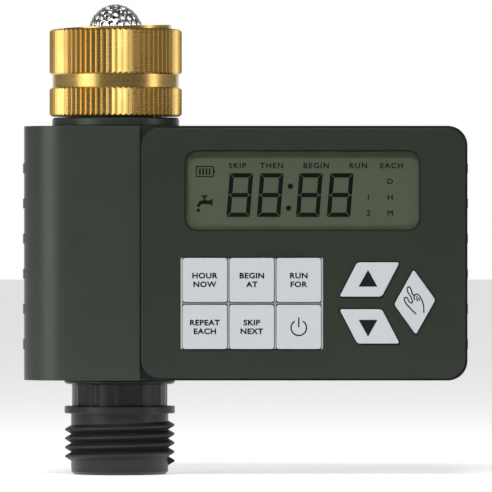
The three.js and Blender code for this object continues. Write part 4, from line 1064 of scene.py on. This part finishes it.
def outlet():
    """The outlet: a flange with a sloped underside, a faceted neck, a collar, the thread and a plain lip."""
    top, low = BOTTOM - 0.25 * MM, OUTLET_LOW.z
    flange = (OUTLET_HIGH.x - OUTLET_LOW.x) / 2
    neck = 11.8 * MM
    neck_top, neck_bottom = top - 0.85 * MM, BOTTOM - 6.5 * MM
    thread_top = BOTTOM - 8.3 * MM
    lip_top = low + 2.0 * MM
    root, bore = 12.0 * MM, 8.0 * MM
    outline = [
        # spigot inside the housing, then the flange
        (bore, OUTLET_HIGH.z), (10.5 * MM, OUTLET_HIGH.z), (10.5 * MM, top),
        (flange - 0.1 * MM, top), (flange, top - 0.1 * MM), (flange, top - 0.5 * MM),
        # neck, and the collar above the thread
        (flange - 0.7 * MM, neck_top), (neck - 0.25 * MM, neck_top), (neck - 0.25 * MM, neck_bottom),
        (flange - 0.15 * MM, neck_bottom), (flange, neck_bottom - 0.15 * MM),
        (flange, thread_top + 0.15 * MM), (flange - 0.15 * MM, thread_top),
        # root of the thread, and the lip
        (root, thread_top), (root, lip_top), (11.95 * MM, lip_top - 0.1 * MM),
        (11.95 * MM, low + 0.7 * MM), (11.3 * MM, low), (bore + 0.4 * MM, low), (bore, low + 0.4 * MM),
    ]
    body = lathe("body", outline, (OUTLET_X, 0), 128, BLACK)
    turns = int((thread_top - lip_top) / THREAD_PITCH) - 1
    ridge = inner_thread("ridge", flange - 0.12 * MM, root - 0.02 * MM, lip_top + 0.15 * MM, turns,
                         MATT_BLACK, (OUTLET_X, 0), 72)
    grip = neck_facets(neck, neck_bottom, neck_top)
    fitting = joined("outlet_fitting_form", [body, ridge, grip])
    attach(fitting, "timer_body")
    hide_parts("outlet_fitting")


def neck_facets(radius, low, high):
    """The neck's wrench flats: a twelve-sided sleeve with softened edges."""
    sleeve = cylinder("sleeve", radius, low - 0.1 * MM, high + 0.1 * MM, (OUTLET_X, 0), sides=12,
                      material=BLACK)
    boolean(sleeve, cylinder("core", radius - 1.0 * MM, low - MM, high + MM, (OUTLET_X, 0), sides=96))
    return soften(sleeve, 0.35 * MM, 3, 20)


# ------------------------------------------------------------------ battery tray

def battery_tray():
    """The pull-out tray: a door with a finger groove, and two open bays behind it."""
    door = block("door", (TRAY_LOW.x, BACK - 1.9 * MM, TRAY_LOW.z), (TRAY_HIGH.x, BACK, TRAY_HIGH.z),
                 HOUSING)
    round_edges(door, along(1), DOOR_ROUND, 10)
    x, z = (TRAY_LOW.x + TRAY_HIGH.x) / 2, (TRAY_LOW.z + TRAY_HIGH.z) / 2
    boolean(door, cylinder("groove", 5.5 * MM, z - 11 * MM, z + 11 * MM, (x, BACK + 4.3 * MM), "Z", 64))
    soften(door, 0.4 * MM, 3)
    grips = []
    for row in range(-3, 4):
        rib = cylinder("rib", 0.35 * MM, x - 2.6 * MM, x + 2.6 * MM, (BACK - 1.1 * MM, z + row * 2.2 * MM),
                       "X", 20, HOUSING)
        grips.append(soften(rib, 0.15 * MM, 2))
    inner_low = Vector((TRAY_LOW.x + TRAY_OVERHANG, TRAY_LOW.y, TRAY_LOW.z + TRAY_OVERHANG))
    inner_high = Vector((TRAY_HIGH.x - TRAY_OVERHANG, BACK - 1.7 * MM, TRAY_HIGH.z - TRAY_OVERHANG))
    bays = block("bays", inner_low, inner_high, HOUSING)
    round_edges(bays, along(1), 2.2 * MM, 6)
    wall = 1.0 * MM
    for side in (-1, 1):
        near = inner_low.x + wall if side < 0 else x + wall / 2
        far = x - wall / 2 if side < 0 else inner_high.x - wall
        boolean(bays, block("bay", (near, inner_low.y - MM, inner_low.z + wall),
                            (far, BACK - 1.9 * MM, inner_high.z - wall)))
    boolean(bays, block("slot", (x - MM, inner_low.y + 4.5 * MM, inner_low.z + wall),
                        (x + MM, inner_low.y + 10 * MM, inner_low.z + wall + MM)))
    soften(bays, 0.15 * MM, 2)
    tray = joined("battery_tray_form", [door, bays, *grips])
    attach(tray, "tray")
    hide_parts("battery_tray")


# ------------------------------------------------------------------ pieces kept as they are

def keep(material, *names):
    """Gives carried-over pieces their own finish."""
    for name in names:
        node = frame["nodes"][name]
        node.data.materials.clear()
        node.data.materials.append(material)
        smooth(node, 35)


def carried_over():
    screws = [name for name in frame["nodes"] if "screw" in name]
    keep(STEEL, *screws, "valve_ball", "idler_pin", "drive_motor", "cell_bridge", "contact_spring_1",
         "contact_spring_2",
         "tray_contact_plus", "tray_contact_minus", "board_contact_plus", "board_contact_minus")
    keep(BLACK, "inlet_tailpiece", "gearbox_plate", "gearbox_cover", "display_frame", "motor_lead_black")
    keep(RUBBER, "tailpiece_oring", "stem_oring", "outlet_oring", "tray_seal", "housing_seal_left",
         "housing_seal_right")
    keep(VALVE_WHITE, "valve_body", "upper_seat", "lower_seat")
    keep(GEAR, "output_gear", "idler_gear")
    keep(BRASS, "valve_stem", "motor_pinion")
    keep(BOARD, "main_board")
    keep(CELL, "battery_cell_1", "battery_cell_2")
    keep(RED, "motor_lead_red")


# ------------------------------------------------------------------ studio

def camera():
    """A long lens square to the front, as far off as a product photographer stands."""
    centre = Vector((32.14 * MM, 0, -42.9 * MM))
    distance, field = 2.0, 120.2 * MM
    bpy.ops.object.camera_add(location=(centre.x, FRONT - distance, centre.z), rotation=(math.pi / 2, 0, 0))
    eye = bpy.context.object
    eye.data.sensor_width = 36.0
    eye.data.lens = 36.0 * distance / field
    eye.data.clip_end = 20.0
    bpy.context.scene.camera = eye


def panel_light(name, place, aim, width, height, power):
    bpy.ops.object.light_add(type="AREA", location=place)
    lamp = bpy.context.object
    lamp.name = name
    lamp.data.shape = "RECTANGLE"
    lamp.data.size, lamp.data.size_y = width, height
    lamp.data.energy = power
    lamp.rotation_euler = (Vector(aim) - Vector(place)).to_track_quat("-Z", "Y").to_euler()


def surround(room, horizon):
    """White paper far behind the object, and a dim room everywhere else."""
    world = bpy.data.worlds.new("studio")
    bpy.context.scene.world = world
    world.use_nodes = True
    tree = world.node_tree
    way = tree.nodes.new("ShaderNodeTexCoord")
    parts = tree.nodes.new("ShaderNodeSeparateXYZ")
    ramp = tree.nodes.new("ShaderNodeValToRGB")
    for element, place, grey in zip(ramp.color_ramp.elements, (horizon, horizon + 0.10), (room, 1.0)):
        element.position = place
        element.color = (grey, grey, grey, 1.0)
    tree.links.new(way.outputs["Generated"], parts.inputs[0])
    tree.links.new(parts.outputs["Y"], ramp.inputs["Fac"])
    tree.links.new(ramp.outputs["Color"], tree.nodes["Background"].inputs["Color"])


def studio():
    paper = Finish("paper", (0.92, 0.92, 0.92), 0.9, Emission_Color=(1, 1, 1, 1), Emission_Strength=0.60)
    bpy.ops.object.select_all(action="DESELECT")
    bpy.ops.mesh.primitive_plane_add(size=12.0, location=(0, 5.75, OUTLET_LOW.z - 0.2 * MM))
    settle(named("floor", paper.material))
    surround(room=0.10, horizon=0.80)
    aim = (0.03, 0, -0.045)
    panel_light("overhead", (-0.10, -0.85, 0.75), aim, 0.55, 0.35, 10.5)
    panel_light("left_box", (-0.62, -0.46, 0.02), aim, 0.45, 0.9, 3.0)
    panel_light("right_box", (0.75, -0.22, 0.05), aim, 0.25, 0.8, 1.3)
    bpy.context.scene.view_settings.view_transform = "Standard"


# ------------------------------------------------------------------ the whole

camera()
front_shell()
rear_shell()
collar()
bezel()
keypad_web()
keys()
display()
inlet_nut()
inlet_filter()
washer()
outlet()
battery_tray()
carried_over()
studio()
